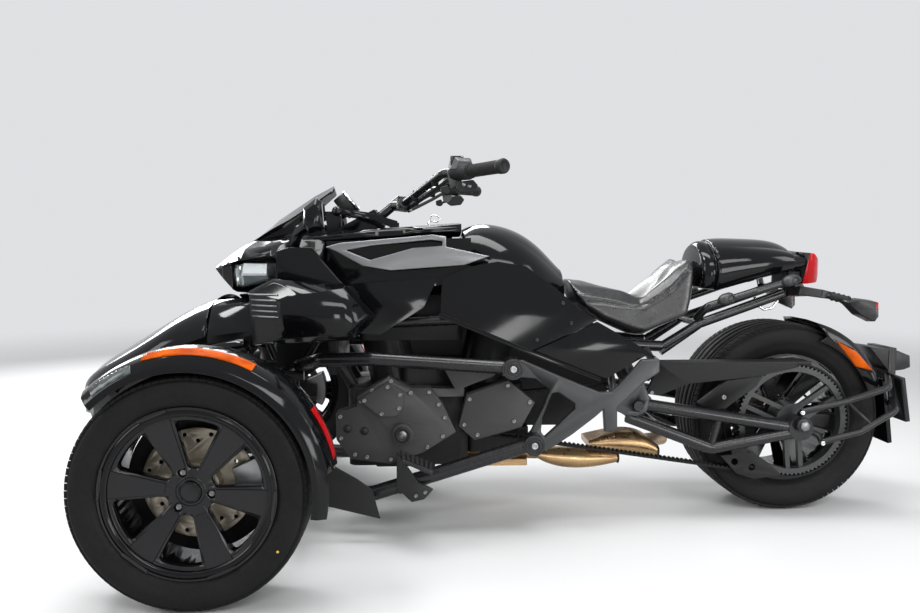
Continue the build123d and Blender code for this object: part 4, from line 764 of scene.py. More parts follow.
def boltRow(name, body, slotName, finish, spots):
    # spots: x, y, z, head radius; the head faces away from the centre plane
    mesh = bpy.data.meshes.new(name + "Spots")
    mesh.from_pydata([spot[:3] for spot in spots], [], [])
    mesh.attributes.new("facing", "FLOAT_VECTOR", "POINT")
    mesh.attributes.new("headSize", "FLOAT", "POINT")
    facing, size = mesh.attributes["facing"], mesh.attributes["headSize"]
    for k, spot in enumerate(spots):
        facing.data[k].vector = (0, math.copysign(1, spot[1]), 0)
        size.data[k].value = spot[3]
    holder = linked(name + "Spots", mesh)
    turns = [math.pi * k / 6 for k in range(12)]
    rings = [[(r * math.cos(a), y, r * math.sin(a)) for a in turns] for r, y in socketOutline]
    head = Solid().sections(rings, 0, True, foot=False)
    grown(spotTree, {"Spots": holder}, name, finish, head.outward().mesh("socketHead"), body, slotName)
    bpy.data.objects.remove(holder)


engineBolts = {
    "coverSide": 0.228, "lidSide": 0.240, "pulleySide": 0.226, "head": 0.0062,
    "cover": ((0.368, 0.455), (0.424, 0.428), (0.457, 0.396), (0.518, 0.350), (0.516, 0.286), (0.476, 0.236),
              (0.440, 0.228), (0.370, 0.220), (0.311, 0.420), (0.256, 0.421), (0.228, 0.384), (0.210, 0.344),
              (0.216, 0.288), (0.262, 0.256)),
    "lid": ((0.342, 0.416), (0.345, 0.376), (0.396, 0.360), (0.446, 0.400), (0.378, 0.440)),
    "pulley": ((0.022, 0.438), (-0.044, 0.387), (0.003, 0.330), (0.112, 0.290), (0.152, 0.322),
               (0.136, 0.398)),
}
boltRow("engineBolts", "chassis", "engine_dark", boltDark, [
    (x, side * engineBolts[group + "Side"], z, engineBolts["head"])
    for side in bothSides for group in ("cover", "lid", "pulley") for x, z in engineBolts[group]])

plateBolts = {
    "bosses": ((0.012, 0.495), (-0.052, 0.268)), "bossSide": 0.280, "bossHead": 0.0100,
    "carrier": ((-0.888, 0.342), (-0.955, 0.246)), "carrierSide": 0.209, "carrierHead": 0.0072,
}
boltRow("bossBolts", "chassis", "caliper_silver", castSilver, [
    (x, side * plateBolts["bossSide"], z, plateBolts["bossHead"])
    for side in bothSides for x, z in plateBolts["bosses"]])

lugs = {"angles": (68, 188, 308), "circle": 0.048, "depth": 0.034, "head": 0.0078}
for outward, wheelSide in sideName.items():
    centre = middleOf("front_tyre_" + wheelSide)[0]
    boltRow("lugBolts_" + wheelSide, "front_wheel_" + wheelSide, "wheel_black", boltDark, [
        (centre[0] + lugs["circle"] * math.cos(math.radians(a)), centre[1] + outward * lugs["depth"],
         centre[2] + lugs["circle"] * math.sin(math.radians(a)), lugs["head"]) for a in lugs["angles"]])
print("fasteners made")


# headlamps: glass over an upper reflector with a painted glow that stands in for its reflection, and a dark
# lower lamp
headlamp = {
    # y, front x at the top and at the bottom, upper z, ridge z, lower z
    "outer": ((0.178, 0.800, 0.803, 0.801, 0.768, 0.740), (0.226, 0.730, 0.732, 0.800, 0.770, 0.757)),
    "front": ((0.123, 0.829, 0.831, 0.794, 0.742), (0.172, 0.806, 0.808, 0.798, 0.738)),
    "depth": 0.008, "ridge": 0.003,
}


def makeHeadlamps(h):
    softCopy("headlights", 0.003, [lampGlass])
    back, tall = h["depth"], h["ridge"]
    for side in bothSides:
        inside = Solid()
        # each part: its corners in x and z, swept along y
        parts = (
            [((topX, topZ), (lowX, midZ + 0.002), (lowX - back, midZ + 0.002), (topX - back, topZ))
             for _, topX, lowX, topZ, midZ, lowZ in h["outer"]],
            [((lowX + 0.004, midZ + tall), (lowX + 0.004, midZ - tall), (lowX - back, midZ - tall),
              (lowX - back, midZ + tall)) for _, topX, lowX, topZ, midZ, lowZ in h["outer"]],
            [((lowX - 0.002, midZ - 0.004), (lowX - 0.006, lowZ), (lowX - back - 0.006, lowZ),
              (lowX - back - 0.002, midZ - 0.004)) for _, topX, lowX, topZ, midZ, lowZ in h["outer"]],
            [((topX, topZ), (lowX, lowZ), (lowX - back, lowZ), (topX - back, topZ))
             for _, topX, lowX, topZ, lowZ in h["front"]],
        )
        for mark, stations in enumerate(parts):
            rows = h["front"] if mark == 3 else h["outer"]
            inside.sections([[(x, side * row[0], z) for x, z in corners]
                             for row, corners in zip(rows, stations)], mark)
        inside.piece("lampInside" + sideName[side], [reflectorPaintedGlow, chrome, lampTeal, reflectorGrey],
                     "chassis", "caliper_silver")


makeHeadlamps(headlamp)


# fender lamps: clear strip in front, ribbed amber on the crown, red crescent behind
fenderLamps = {
    "amberFrom": 71, "amberTo": 130,  # degrees round the wheel where one lens ends and the next begins
    "ribOutline": ((-0.0015, -0.0016), (0.0010, -0.0016 * 0.4), (0.0010, 0.0016 * 0.4), (-0.0015, 0.0016)),
    # name, count, first and last turn, inner and outer end as y and radius, finish, slot
    "rows": (("amberRibs_", 46, 75.5, 116, (0.7015, 0.3390), (0.7275, 0.3287), amberLens, "amber_lens"),
             ("stripSlats_", 9, 52, 67, (0.7310, 0.3255), (0.7430, 0.3105), chrome, "caliper_silver")),
}


def makeFenderLamps(side, sideWord, lamps):
    node = "fender_lamps_" + sideWord
    centre = middleOf("front_tyre_" + sideWord)[0]

    def rule(place, normal):
        turn = math.degrees(math.atan2(place.z - centre[2], place.x - centre[0])) % 360
        return 0 if turn < lamps["amberFrom"] else 1 if turn < lamps["amberTo"] else 2

    softCopy(node, 0.0008, [stripGlass, amberLens, redLens], rule)
    # ribs lie across the lens, whose outer edge is lower than its inner one
    for name, count, start, end, near, far, finish, slotName in lamps["rows"]:
        bar = Solid().sections([[(r + up, side * y - centre[1], across) for up, across in lamps["ribOutline"]]
                                for y, r in (near, far)])
        grown(arcTree, {"Count": count, "Radius": 0.0, "Start": math.radians(start),
                        "Step": math.radians(end - start) / (count - 1), "Centre": centre},
              name + sideWord, finish, bar.outward().mesh(name), bodyOf[node], slotName)


for lampSide, lampWord in sideName.items():
    makeFenderLamps(lampSide, lampWord, fenderLamps)
print("lamps made")


# belt: teeth stand on the inner face of its two straight runs
belt = {
    "sprocket": (-0.891, 0.303, 0.178), "pulley": (0.050, 0.330, 0.060),  # x, z, radius
    "pitch": 0.014, "side": 0.130, "half": 0.0135, "tooth": 0.0046, "wide": 0.0040, "crest": 0.72,
    "gap": 0.0004, "ends": 2,  # teeth left out where a run meets a pulley
}


def makeBeltTeeth(b):
    (rearX, rearZ, rearR), (frontX, frontZ, frontR) = b["sprocket"], b["pulley"]
    lean = math.atan2(frontZ - rearZ, frontX - rearX)
    spread = math.asin((rearR - frontR) / math.hypot(frontX - rearX, frontZ - rearZ))
    teeth = Solid()
    for turn in (lean + math.pi / 2 - spread, lean - math.pi / 2 + spread):
        out = Vector((math.cos(turn), 0, math.sin(turn)))
        start = Vector((rearX, 0, rearZ)) + out * (rearR + b["gap"])
        stop = Vector((frontX, 0, frontZ)) + out * (frontR + b["gap"])
        along = (stop - start).normalized()
        for k in range(b["ends"], int((stop - start).length / b["pitch"]) - 2 * b["ends"]):
            spot, wide = start + along * (k * b["pitch"]), along * b["wide"]
            crest, tip = wide * b["crest"], out * b["tooth"]
            corners = [(point.x, point.z) for point in (spot - wide, spot - crest - tip, spot + crest - tip,
                                                        spot + wide)]
            teeth.plate(corners, b["side"] - b["half"], b["side"] + b["half"])
    teeth.piece("beltTeeth", [beltRubber], "chassis", "belt_rubber")


makeBeltTeeth(belt)
print("belt teeth made")


# small hardware, both sides unless named for one
sideBolts = {
    "peg": ((0.296, 0.288, 0.128), (0.269, 0.288, 0.138)),
    "cover": ((-0.066, 0.216, 0.573), (-0.143, 0.216, 0.683), (-0.168, 0.216, 0.623)),
    "guard": ((-0.426, 0.182, 0.404, 0.0062), (-0.652, 0.180, 0.387, 0.0072)),  # left side only
    "head": 0.0058,
}
for rowName, rowGroup, rowFinish in (("sideBolts", "peg", boltDark), ("coverBolts", "cover", frameBlack)):
    boltRow(rowName, "chassis", "frame_black", rowFinish, [
        (x, side * y, z, sideBolts["head"]) for side in bothSides for x, y, z in sideBolts[rowGroup]])
boltRow("guardBolts", "chassis", "frame_black", boltDark, sideBolts["guard"])
boltRow("carrierBolts", "chassis", "caliper_silver", chrome, [
    (x, side * plateBolts["carrierSide"], z, plateBolts["carrierHead"])
    for side in bothSides for x, z in plateBolts["carrier"]])

bossRings = ((0.0135, 0.0190), (0.0225, 0.0275))  # inner and outer radius, round the boss bolts


def makeBossRings(radii, b):
    rings = Solid()
    for side in bothSides:
        for x, z in b["bosses"]:
            for inner, outer in radii:
                rings.turned((x, side * b["bossSide"], z), (0, side, 0),
                             ((-0.001, inner), (0.0020, inner + 0.0010), (0.0020, outer - 0.0010),
                              (-0.001, outer)))
    rings.piece("bossRings", [frameBlack], "chassis", "frame_black")


makeBossRings(bossRings, plateBolts)

engineBosses = {"small": ((0.497, 0.313), (0.447, 0.306)), "smallSide": 0.226, "ring": (0.334, 0.300),
                "ringSide": 0.2575}


def makeEngineBosses(b):
    bosses = Solid()
    for side in bothSides:
        for x, z in b["small"]:
            bosses.turned((x, side * b["smallSide"], z), (0, side, 0),
                          ((0, 0.0), (0, 0.013), (0.007, 0.010), (0.008, 0.0)))
        x, z = b["ring"]
        for mark, profile in enumerate((((0, 0.0145), (0.0035, 0.0155), (0.0035, 0.0225), (0, 0.0238)),
                                        ((0, 0.0), (0, 0.0120), (0.0016, 0.0110), (0.0016, 0.0)))):
            bosses.turned((x, side * b["ringSide"], z), (0, side, 0), profile, mark)
    bosses.piece("engineBosses", [engineGrey, boltDark], "chassis", "engine_dark")


makeEngineBosses(engineBosses)

# grab rails: barrel bosses with a bolt
railBosses = {
    "places": ((-0.668, 0.152, 0.690), (-0.868, 0.152, 0.746)), "run": (0.20, 0, -0.056),
    "barrel": ((-0.018, 0.0), (-0.017, 0.013), (-0.008, 0.018), (0.012, 0.018), (0.022, 0.014),
               (0.030, 0.008), (0.031, 0.0)),
    "bolt": ((-0.004, 0.0), (-0.004, 0.0125), (0.0065, 0.0120), (0.0065, 0.0085), (0.0045, 0.0080),
             (0.0045, 0.0)),
}


def makeRailBosses(b):
    bosses = Solid()
    for side in bothSides:
        for x, y, z in b["places"]:
            bosses.turned((x, side * y, z), b["run"], b["barrel"], 0)
            bosses.turned((x - 0.006, side * (y + 0.012), z + 0.001), (0, side, 0), b["bolt"], 1)
    bosses.piece("railBosses", [frameGrey, frameBlack], "chassis", "satin_grey")


makeRailBosses(railBosses)

# ignition key bow on the console and the hook ring under the tail
keyBow = ((0.249, 0, 0.931), (0.243, 0, 0.950), (0.226, 0, 0.948), (0.217, 0, 0.938), (0.226, 0, 0.928))
tailHook = ((-0.782, 0.084, 0.690), (-0.790, 0.086, 0.664), (-0.812, 0.088, 0.650), (-0.838, 0.088, 0.655),
            (-0.856, 0.086, 0.676), (-0.860, 0.084, 0.696))
bow = Solid().rod(keyBow, 0.0022, 0, 10, True)
bow.rod((keyBow[0], (0.262, 0, 0.912)), 0.0026, 0, 10)
bow.piece("keyBow", [chrome], "chassis", "caliper_silver")
Solid().rod(tailHook, 0.0042, 0, 12).piece("tailHook", [chrome], "chassis", "caliper_silver")
print("small hardware made")


surfaceTrees = {}


# seats small things on a node: where a ray meets its surface
def touch(node, start, direction):
    if node not in surfaceTrees:
        surfaceTrees[node] = surfaceTree(nodes[node].data)
    return surfaceTrees[node].ray_cast(Vector(start), Vector(direction).normalized())[0]


# wheel caps: a ring round the bare cap, and a marker dot on the front tyres
capRing = {"inner": 0.0215, "outer": 0.0265, "rise": 0.0022, "dotRadius": 0.245, "dotTurn": 213,
           "dotSize": 0.0032}


def makeCaps(c):
    for side, sideWord in sideName.items():
        centre = middleOf("front_tyre_" + sideWord)[0]
        face = touch("front_rim_" + sideWord, (centre[0] + 0.012, side * 1.0, centre[2]), (0, -side, 0))
        ring = Solid()
        ring.turned((centre[0], face.y, centre[2]), (0, side, 0),
                    ((-0.001, c["inner"]), (c["rise"], c["inner"] + 0.001), (c["rise"], c["outer"] - 0.001),
                     (-0.001, c["outer"])))
        ring.piece("capRing_" + sideWord, [rimGloss], "front_wheel_" + sideWord, "wheel_black")
        turn = math.radians(c["dotTurn"])
        spot = (centre[0] + c["dotRadius"] * math.cos(turn), centre[2] + c["dotRadius"] * math.sin(turn))
        wall = touch("front_tyre_" + sideWord, (spot[0], side * 1.0, spot[1]), (0, -side, 0))
        dot = Solid()
        dot.turned((spot[0], wall.y + side * 0.0002, spot[1]), (0, side, 0),
                   ((-0.001, 0.0), (-0.001, c["dotSize"]), (0.0003, c["dotSize"]), (0.0003, 0.0)), 0, 14)
        dot.piece("tyreDot_" + sideWord, [dotYellow], "front_wheel_" + sideWord, "amber_lens")


makeCaps(capRing)

# gloss ring between the spokes' ends and the rim's edge, and a thin dark sheet behind each brake disc,
# painted shade that stands in for the shade inside the wheel
rimRing = {"inner": 0.1700, "outer": 0.1995, "turn": 38, "rise": 0.0006, "sink": 0.001, "steps": 96}
discShade = {"inner": 0.046, "near": 0.5935, "far": 0.5960, "from": 213, "to": 507, "steps": 56, "space": 0.003}


def makeWheelTrims(r, s):
    turn = math.radians(r["turn"])
    for side, sideWord in sideName.items():
        centre = middleOf("front_tyre_" + sideWord)[0]
        rows = []
        for radius in (r["inner"], (r["inner"] + r["outer"]) / 2, r["outer"]):
            face = touch("front_rim_" + sideWord, (centre[0] + radius * math.cos(turn), side * 1.0,
                                                   centre[2] + radius * math.sin(turn)), (0, -side, 0))
            if face:  # a ray through one of the windows meets nothing
                rows.append((abs(face.y) - abs(centre[1]), radius))
        profile = [(along + r["rise"], radius) for along, radius in rows]
        profile += [(along - r["sink"], radius) for along, radius in reversed(rows)]
        ring = Solid().turned(centre, (0, side, 0), profile, 0, r["steps"])
        ring.piece("rimRing_" + sideWord, [rimGloss], "front_wheel_" + sideWord, "wheel_black")
        barrel = touch("front_rim_" + sideWord, (centre[0], side * s["far"], centre[2]), (1, 0, 0))
        outer = barrel.x - centre[0] - s["space"]
        turns = [math.radians(s["from"] + (s["to"] - s["from"]) * k / s["steps"])
                 for k in range(s["steps"] + 1)]
        # painted shade: this dark plate behind the disc stands in for the shade inside the wheel
        plate = Solid().sections([
            [(centre[0] + radius * math.cos(a), side * y, centre[2] + radius * math.sin(a)) for radius, y in (
                (s["inner"], s["near"]), (outer, s["near"]), (outer, s["far"]), (s["inner"], s["far"]))]
            for a in turns])
        plate.piece("discShield_" + sideWord, [trimBlack], "knuckle_assembly_" + sideWord, "trim_plastic")


makeWheelTrims(rimRing, discShade)

# painted shade: a dark sheet on the centre plane, inside the covers and behind the belt, stands in for the
# shade between the parts
shadeSheet = {
    "middle": ((0.45, 0.45), (0.45, 0.60), (0.40, 0.78), (-0.10, 0.78), (-0.17, 0.60), (-0.33, 0.52),
               (-0.33, 0.38), (-0.20, 0.265), (-0.03, 0.265), (0.02, 0.40), (0.10, 0.45)),
    "front": ((0.56, 0.462), (0.74, 0.462), (0.74, 0.60), (0.56, 0.60)),
    "half": 0.003,
}
inner = Solid()
for group in ("middle", "front"):
    inner.plate(shadeSheet[group], -shadeSheet["half"], shadeSheet["half"])
inner.piece("innerLiner", [trimBlack], "chassis", "trim_plastic")

# slats across the front duct of each side vent
ventSlats = {"rows": (0.660, 0.675, 0.690, 0.705, 0.720), "from": 0.322, "to": 0.392, "places": 7,
             "back": 0.66, "radius": 0.0026, "rise": 0.0012}


def makeVentSlats(v):
    slats = Solid()
    for side in bothSides:
        for z in v["rows"]:
            across = [v["from"] + (v["to"] - v["from"]) * k / (v["places"] - 1) for k in range(v["places"])]
            row = [touch("side_vents", (1.2, side * y, z), (-1, 0, 0)) for y in across]
            rise = Vector((0.5, 0.85 * side, 0)) * v["rise"]
            row = [spot + rise for spot in row if spot and spot.x > v["back"]]
            if len(row) > 2:  # a slat needs three places on the duct's face
                slats.rod(row, v["radius"], 0, 8)
    slats.piece("ventSlats", [bladeGrey], "chassis", "satin_grey")


makeVentSlats(ventSlats)

# rear axle ends: a round washer and a six-sided nut, each as distance from the middle, profile and sides
axleEnds = {
    "x": -0.891, "z": 0.303,
    "parts": (
        (0.214, ((-0.004, 0.0), (-0.004, 0.0215), (0.0035, 0.0215), (0.0045, 0.0200), (0.0045, 0.0)), 24),
        (0.2175, ((0.0, 0.0), (0.0, 0.0155), (0.0090, 0.0155), (0.0100, 0.0145), (0.0100, 0.0)), 6),
    ),
}
axleEnd = Solid()
for axleSide in bothSides:
    for mark, (y, profile, sides) in enumerate(axleEnds["parts"]):
        axleEnd.turned((axleEnds["x"], axleSide * y, axleEnds["z"]), (0, axleSide, 0), profile, mark, sides)
axleEnd.piece("axleNuts", [frameBlack, boltDark], "chassis", "frame_black")

# exhaust: dark ring at the end of each can
cans = ((-0.478, 0.0150, 0.196, -0.020, 0.098), (-0.352, 0.0150, 0.172, 0.010, 0.084))
canRings = Solid()
for canX, canHalf, canMiddle, yFrom, yTo in cans:  # end face's x, half height, middle height, y from and to
    middle, reach = (yFrom + yTo) / 2, (yTo - yFrom) / 2 - canHalf
    outline = [(canX, middle + sign * reach + canHalf * math.cos(a), canMiddle + canHalf * math.sin(a))
               for sign, first in ((1, -90), (-1, 90))
               for a in (math.radians(first + 20 * k) for k in range(10))]
    canRings.rod(outline, 0.0035, 0, 8, True)
canRings.piece("canRings", [frameBlack], "chassis", "frame_black")

# foot pegs: rubber ribs across the slanted top
pegPad = {
    # y, then x and z at the front and at the rear
    "ends": ((0.292, 0.341, 0.2625, 0.243, 0.2225), (0.391, 0.333, 0.2665, 0.249, 0.2310)),
    "ribs": 7, "rise": 0.0035, "sink": 0.002, "share": 0.052, "crest": 0.8,
}


def makePegs(p):
    ribs = Solid()
    for side in bothSides:
        for k in range(p["ribs"]):
            middle, foot, crest = (k + 0.5) / p["ribs"], p["share"], p["share"] * p["crest"]
            outline = ((middle - foot, -p["sink"]), (middle - crest, p["rise"]), (middle + crest, p["rise"]),
                       (middle + foot, -p["sink"]))
            ribs.sections([[(frontX + (rearX - frontX) * t, side * y, frontZ + (rearZ - frontZ) * t + up)
                            for t, up in outline] for y, frontX, frontZ, rearX, rearZ in p["ends"]])
    ribs.piece("pegRibs", [gripRubber], "chassis", "grip_rubber")


makePegs(pegPad)

# handlebar: control pods, thumb levers, harness clipped along the bar, grip ribs and end caps
barParts = {
    "pod": ((0.292, ((0.196, 1.072), (0.192, 1.088), (0.166, 1.090), (0.160, 1.074))),
            (0.306, ((0.204, 1.068), (0.196, 1.098), (0.160, 1.100), (0.150, 1.072))),
            (0.336, ((0.198, 1.062), (0.184, 1.097), (0.140, 1.094), (0.130, 1.066))),
            (0.350, ((0.184, 1.062), (0.174, 1.086), (0.142, 1.084), (0.136, 1.064)))),
    # finish, from and to along y, outline: bracket, cluster, thumb paddle and its arm
    "plates": (
        (0, 0.316, 0.326, ((0.206, 1.060), (0.186, 1.076), (0.166, 1.062), (0.164, 1.024), (0.178, 1.004),
                           (0.196, 1.010))),
        (1, 0.318, 0.350, ((0.176, 1.028), (0.134, 1.034), (0.120, 1.018), (0.132, 1.000), (0.168, 0.996),
                           (0.184, 1.006))),
        (1, 0.322, 0.344, ((0.224, 1.014), (0.204, 1.020), (0.196, 1.002), (0.206, 0.994), (0.222, 0.998))),
        (1, 0.324, 0.336, ((0.200, 1.012), (0.178, 1.020), (0.176, 1.010), (0.198, 1.004))),
    ),
    "sideButtons": ((0.160, 1.020), (0.144, 1.016)), "topButtons": ((0.182, 0.320), (0.164, 0.334)),
    "harness": ((0.318, 0.072, 0.966), (0.286, 0.140, 0.984), (0.236, 0.232, 1.014), (0.206, 0.290, 1.034),
                (0.186, 0.316, 1.040)),
    "clips": ((0.296, 0.148, 1.0035), (0.238, 0.250, 1.0405)),
    "gripFrom": (0.142, 0.357, 1.0563), "gripTo": (0.066, 0.474, 1.0587), "gripRibs": 16,
    # profiles: distance along the grip, radius
    "gripRib": ((-0.0016, 0.0165), (-0.0010, 0.0181), (0.0010, 0.0181), (0.0016, 0.0165)),
    "gripCollar": ((-0.003, 0.0165), (-0.003, 0.0205), (0.003, 0.0205), (0.004, 0.0165)),
    "endCap": ((-0.013, 0.0), (-0.013, 0.0185), (-0.010, 0.0200), (0.004, 0.0200), (0.0085, 0.0175),
               (0.0085, 0.0130), (0.0055, 0.0120), (0.0055, 0.0)),
    "clamp": ((0.327, 0.070, 0.9795), (0.327, 0.094, 0.9865)),
}


def mirroredY(point, side):
    return (point[0], side * point[1], point[2])


def makeBarParts(b):
    for side in bothSides:
        word = sideName[side]
        pod = Solid()
        pod.sections([[(x, side * y, z) for x, z in outline] for y, outline in b["pod"]])
        for mark, yFrom, yTo, outline in b["plates"]:
            pod.plate(outline, side * yFrom, side * yTo, mark)
        pod.piece("controlPod_" + word, [podGrey, trimBlack], "steering_bar", "trim_plastic", 0.0035)
        buttons = Solid()
        for x, z in b["sideButtons"]:
            buttons.turned((x, side * 0.349, z), (0, side, 0),
                           ((0, 0.0), (0, 0.0055), (0.0035, 0.0048), (0.0042, 0.0)), 0, 16)
        for x, y in b["topButtons"]:
            buttons.turned((x, side * y, 1.0955), (0, 0, 1),
                           ((0, 0.0), (0, 0.0045), (0.0035, 0.0040), (0.0035, 0.0)), 0, 12)
        buttons.piece("podButtons_" + word, [boltDark], "steering_bar", "frame_black")
        line = Solid().rod([mirroredY(point, side) for point in b["harness"]], 0.0055, 0, 12)
        for x, y, z in b["clips"]:
            line.rod([(x, side * y, z - 0.018), (x - 0.004, side * (y + 0.002), z + 0.013)], 0.0125, 0, 14,
                     False, 0.55)
        line.piece("barHarness_" + word, [gripRubber], "steering_bar", "grip_rubber")
        start, stop = Vector(mirroredY(b["gripFrom"], side)), Vector(mirroredY(b["gripTo"], side))
        run = (stop - start).normalized()
        grip = Solid()
        for k in range(b["gripRibs"]):
            spot = start.lerp(stop, (k + 1.0) / (b["gripRibs"] + 1))
            grip.turned(spot, run, b["gripRib"], 0, 24)
        grip.turned(start + run * 0.001, run, b["gripCollar"], 0, 24)
        grip.turned(stop, run, b["endCap"], 1, 28)
        grip.piece("gripParts_" + word, [gripRubber, trimBlack], "steering_bar", "grip_rubber")
        clamp = Solid().rod([mirroredY(point, side) for point in b["clamp"]], 0.0185, 0, 20)
        clamp.piece("barClamp_" + word, [frameBlack], "steering_bar", "frame_black", 0.002)


makeBarParts(barParts)
print("handlebar parts made")

# mirror glass on the rear faces
mirrorGlass = {"inner": 0.314, "outer": 0.369, "outline": ((0.5462, 0.966), (0.5408, 0.904)), "thick": 0.0014}


def makeMirrors(m):
    (topX, topZ), (lowX, lowZ) = m["outline"]
    for side in bothSides:
        glass = Solid()
        glass.plate(((topX, topZ), (lowX, lowZ), (lowX - m["thick"], lowZ), (topX - m["thick"], topZ)),
                    side * m["inner"], side * m["outer"])
        glass.piece("mirrorGlass_" + sideName[side], [mirrorSilver], "chassis", "caliper_silver")


makeMirrors(mirrorGlass)

# dial: bezel, face and marks on the gauge's rear end
dial = {
    "centre": (0.498, 0.0, 0.994), "axis": (-0.753, 0.0, 0.659), "marks": 11, "sweep": (-210, 30),
    "needle": 3.4,  # where it points, counted in marks
    # finish, sides, profile of the bezel, the face and the needle's hub
    "rounds": (
        (0, 40, ((-0.004, 0.0340), (-0.004, 0.0395), (0.0030, 0.0390), (0.0040, 0.0370), (0.0010, 0.0335))),
        (1, 40, ((-0.001, 0.0), (-0.001, 0.0345), (0.0006, 0.0345), (0.0006, 0.0))),
        (0, 18, ((0.0006, 0.0), (0.0006, 0.0042), (0.0022, 0.0036), (0.0022, 0.0))),
    ),
    "markSize": (0.0255, 0.0310, 0.0006), "needleSize": (0.002, 0.0270, 0.0008),  # from, to, half width
}


def makeDial(d):
    axis = Vector(d["axis"]).normalized()
    side = Vector((0, 1, 0))
    up = axis.cross(side)
    centre = Vector(d["centre"])
    face = Solid()
    for mark, sides, profile in d["rounds"]:
        face.turned(centre, axis, profile, mark, sides)
    first, last = d["sweep"]
    for k in range(d["marks"] + 1):  # the one after the last mark is the needle
        at = k if k < d["marks"] else d["needle"]
        turn = math.radians(first + (last - first) * at / (d["marks"] - 1))
        out = math.cos(turn) * side - math.sin(turn) * up
        wide = axis.cross(out)
        inner, outer, half = d["markSize"] if k < d["marks"] else d["needleSize"]
        rings = []
        for r in (inner, outer):
            base = centre + out * r
            rings.append([base - wide * half + axis * 0.0004, base + wide * half + axis * 0.0004,
                          base + wide * half + axis * 0.0014, base - wide * half + axis * 0.0014])
        face.sections(rings, 2)
    face.piece("dialFace", [chrome, lampTeal, dialWhite], "chassis", "trim_plastic")


makeDial(dial)

# rear signals: a flat arm fairing and a ribbed rubber joint
signalArm = {
    "fairing": ((0.086, ((-0.872, 0.722), (-0.905, 0.706), (-0.905, 0.690), (-0.872, 0.694))),
                (0.150, ((-0.898, 0.729), (-0.935, 0.716), (-0.930, 0.696), (-0.893, 0.700))),
                (0.206, ((-0.940, 0.720), (-0.972, 0.712), (-0.968, 0.690), (-0.936, 0.694)))),
    "joint": ((-0.962, 0.210, 0.7015), (-1.004, 0.243, 0.688)),
}


def makeSignalArms(s):
    for side in bothSides:
        arm = Solid()
        arm.sections([[(x, side * y, z) for x, z in outline] for y, outline in s["fairing"]])
        arm.piece("signalArm_" + sideName[side], [frameBlack], "chassis", "frame_black", 0.003)
        start, stop = (Vector(mirroredY(point, side)) for point in s["joint"])
        boot = Solid()
        boot.rod([start.lerp(stop, k / 8) for k in range(9)], [0.0115 + 0.0030 * (k % 2) for k in range(9)],
                 0, 18)
        boot.piece("signalJoint_" + sideName[side], [gripRubber], "chassis", "grip_rubber")


makeSignalArms(signalArm)
print("rear signals made")


# saddle: the pad is blown up as cloth, then its seam is drawn in
saddleShape = {
    "voxel": 0.006, "rounding": 18, "start": 0.004, "pressure": 4.0, "frames": 20, "cap": 0.011,
    "kept": 0.3, "taken": 0.7,  # shares of a point's own shift and of its neighbours' mean
    "evening": 60, "baseFacing": -0.35, "stretch": 15, "bending": 0.5,
    "seamDepth": 0.0032, "seamWidth": 0.006,
    "seam": ((-0.204, 0.680), (-0.245, 0.677), (-0.288, 0.675), (-0.335, 0.667), (-0.383, 0.662),
             (-0.435, 0.674),
             (-0.474, 0.698), (-0.513, 0.726), (-0.540, 0.760), (-0.564, 0.793)),
    "seamSide": 0.118,
}


def inflate(piece, s):
    cloth = piece.modifiers.new("cloth", "CLOTH")
    cloth.settings.use_pressure = True
    cloth.settings.uniform_pressure_force = s["pressure"]
    cloth.settings.tension_stiffness = cloth.settings.compression_stiffness = s["stretch"]
    cloth.settings.bending_stiffness = s["bending"]
    cloth.settings.effector_weights.gravity = 0
    cloth.settings.quality = 4
    cloth.collision_settings.use_collision = False
    cloth.point_cache.frame_start, cloth.point_cache.frame_end = 1, s["frames"]
    scene = bpy.context.scene
    for step in range(1, s["frames"] + 1):
        scene.frame_set(step)
    made = plainMesh(piece)
    points = [v.co.copy() for v in made.vertices]
    piece.modifiers.remove(cloth)
    scene.frame_set(1)
    bpy.data.meshes.remove(made)
    return points


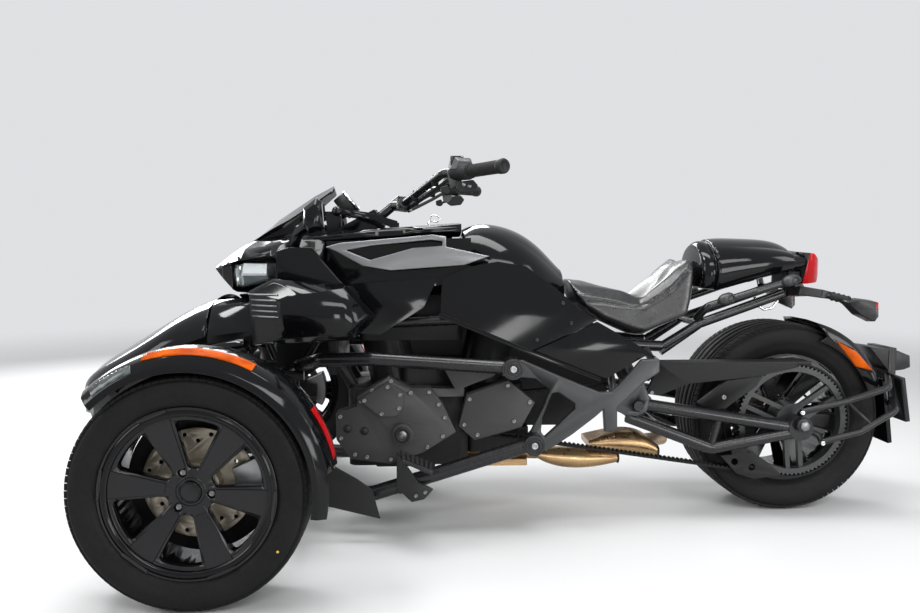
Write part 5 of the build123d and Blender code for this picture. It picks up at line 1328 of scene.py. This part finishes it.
def makeSaddle(s):
    mesh, shape = mergedCopy("saddle")
    shape.to_mesh(mesh)
    shape.free()
    raw = linked("saddleRaw", mesh)
    remesh = raw.modifiers.new("remesh", "REMESH")
    remesh.mode = "VOXEL"
    remesh.voxel_size = s["voxel"]
    smooth = raw.modifiers.new("smooth", "SMOOTH")
    smooth.factor, smooth.iterations = 0.5, s["rounding"]
    mesh = plainMesh(raw)
    bpy.data.objects.remove(raw)
    firm = [v.co.copy() for v in mesh.vertices]
    normals = [v.normal.copy() for v in mesh.vertices]
    for v, n in zip(mesh.vertices, normals):
        v.co -= n * s["start"]
    raw = linked("saddleRaw", mesh)
    blown = inflate(raw, s)
    bpy.data.objects.remove(raw)
    shifts = np.zeros((len(firm), 3))
    for v, home, place, n in zip(mesh.vertices, firm, blown, normals):
        shift = place - home
        if n.z < s["baseFacing"]:  # the base stays flat on the frame
            shift = Vector((0, 0, 0))
        if shift.length > s["cap"]:
            shift *= s["cap"] / shift.length
        shifts[v.index] = shift
    # the bulge stays and the small creases are evened out
    ends = np.array([edge.vertices[:] for edge in mesh.edges])
    beside = np.bincount(ends.ravel(), minlength=len(shifts)).reshape(-1, 1)
    for _ in range(s["evening"]):
        total = np.zeros_like(shifts)
        np.add.at(total, ends[:, 0], shifts[ends[:, 1]])
        np.add.at(total, ends[:, 1], shifts[ends[:, 0]])
        shifts = s["kept"] * shifts + s["taken"] * total / beside
    for v, home in zip(mesh.vertices, firm):
        v.co = home + Vector(shifts[v.index])
    mesh.update()
    tree, line = surfaceTree(mesh), []
    for side in bothSides:
        for (x0, z0), (x1, z1) in zip(s["seam"], s["seam"][1:]):
            for k in range(6):
                t = k / 6
                spot = (x0 + (x1 - x0) * t, side * s["seamSide"], z0 + (z1 - z0) * t)
                line.append(tree.find_nearest(spot)[0])
    seamTree = KDTree(len(line))
    for k, spot in enumerate(line):
        seamTree.insert(spot, k)
    seamTree.balance()
    piece = linked("saddleRaw", mesh)
    fine = piece.modifiers.new("fine", "SUBSURF")
    fine.levels = fine.render_levels = 1
    made = plainMesh(piece)
    bpy.data.objects.remove(piece)
    outward = [v.normal.copy() for v in made.vertices]
    for v, n in zip(made.vertices, outward):
        gap = seamTree.find(v.co)[2]
        v.co -= n * s["seamDepth"] * math.exp(-(gap / s["seamWidth"]) ** 2)
    for face in made.polygons:
        face.use_smooth = True
    pad = addPiece("saddlePad", made, [seatHide], "saddle_unit", "hide", ("saddle",))


makeSaddle(saddleShape)
print("saddle made")

roundEdges()
print("edges rounded")
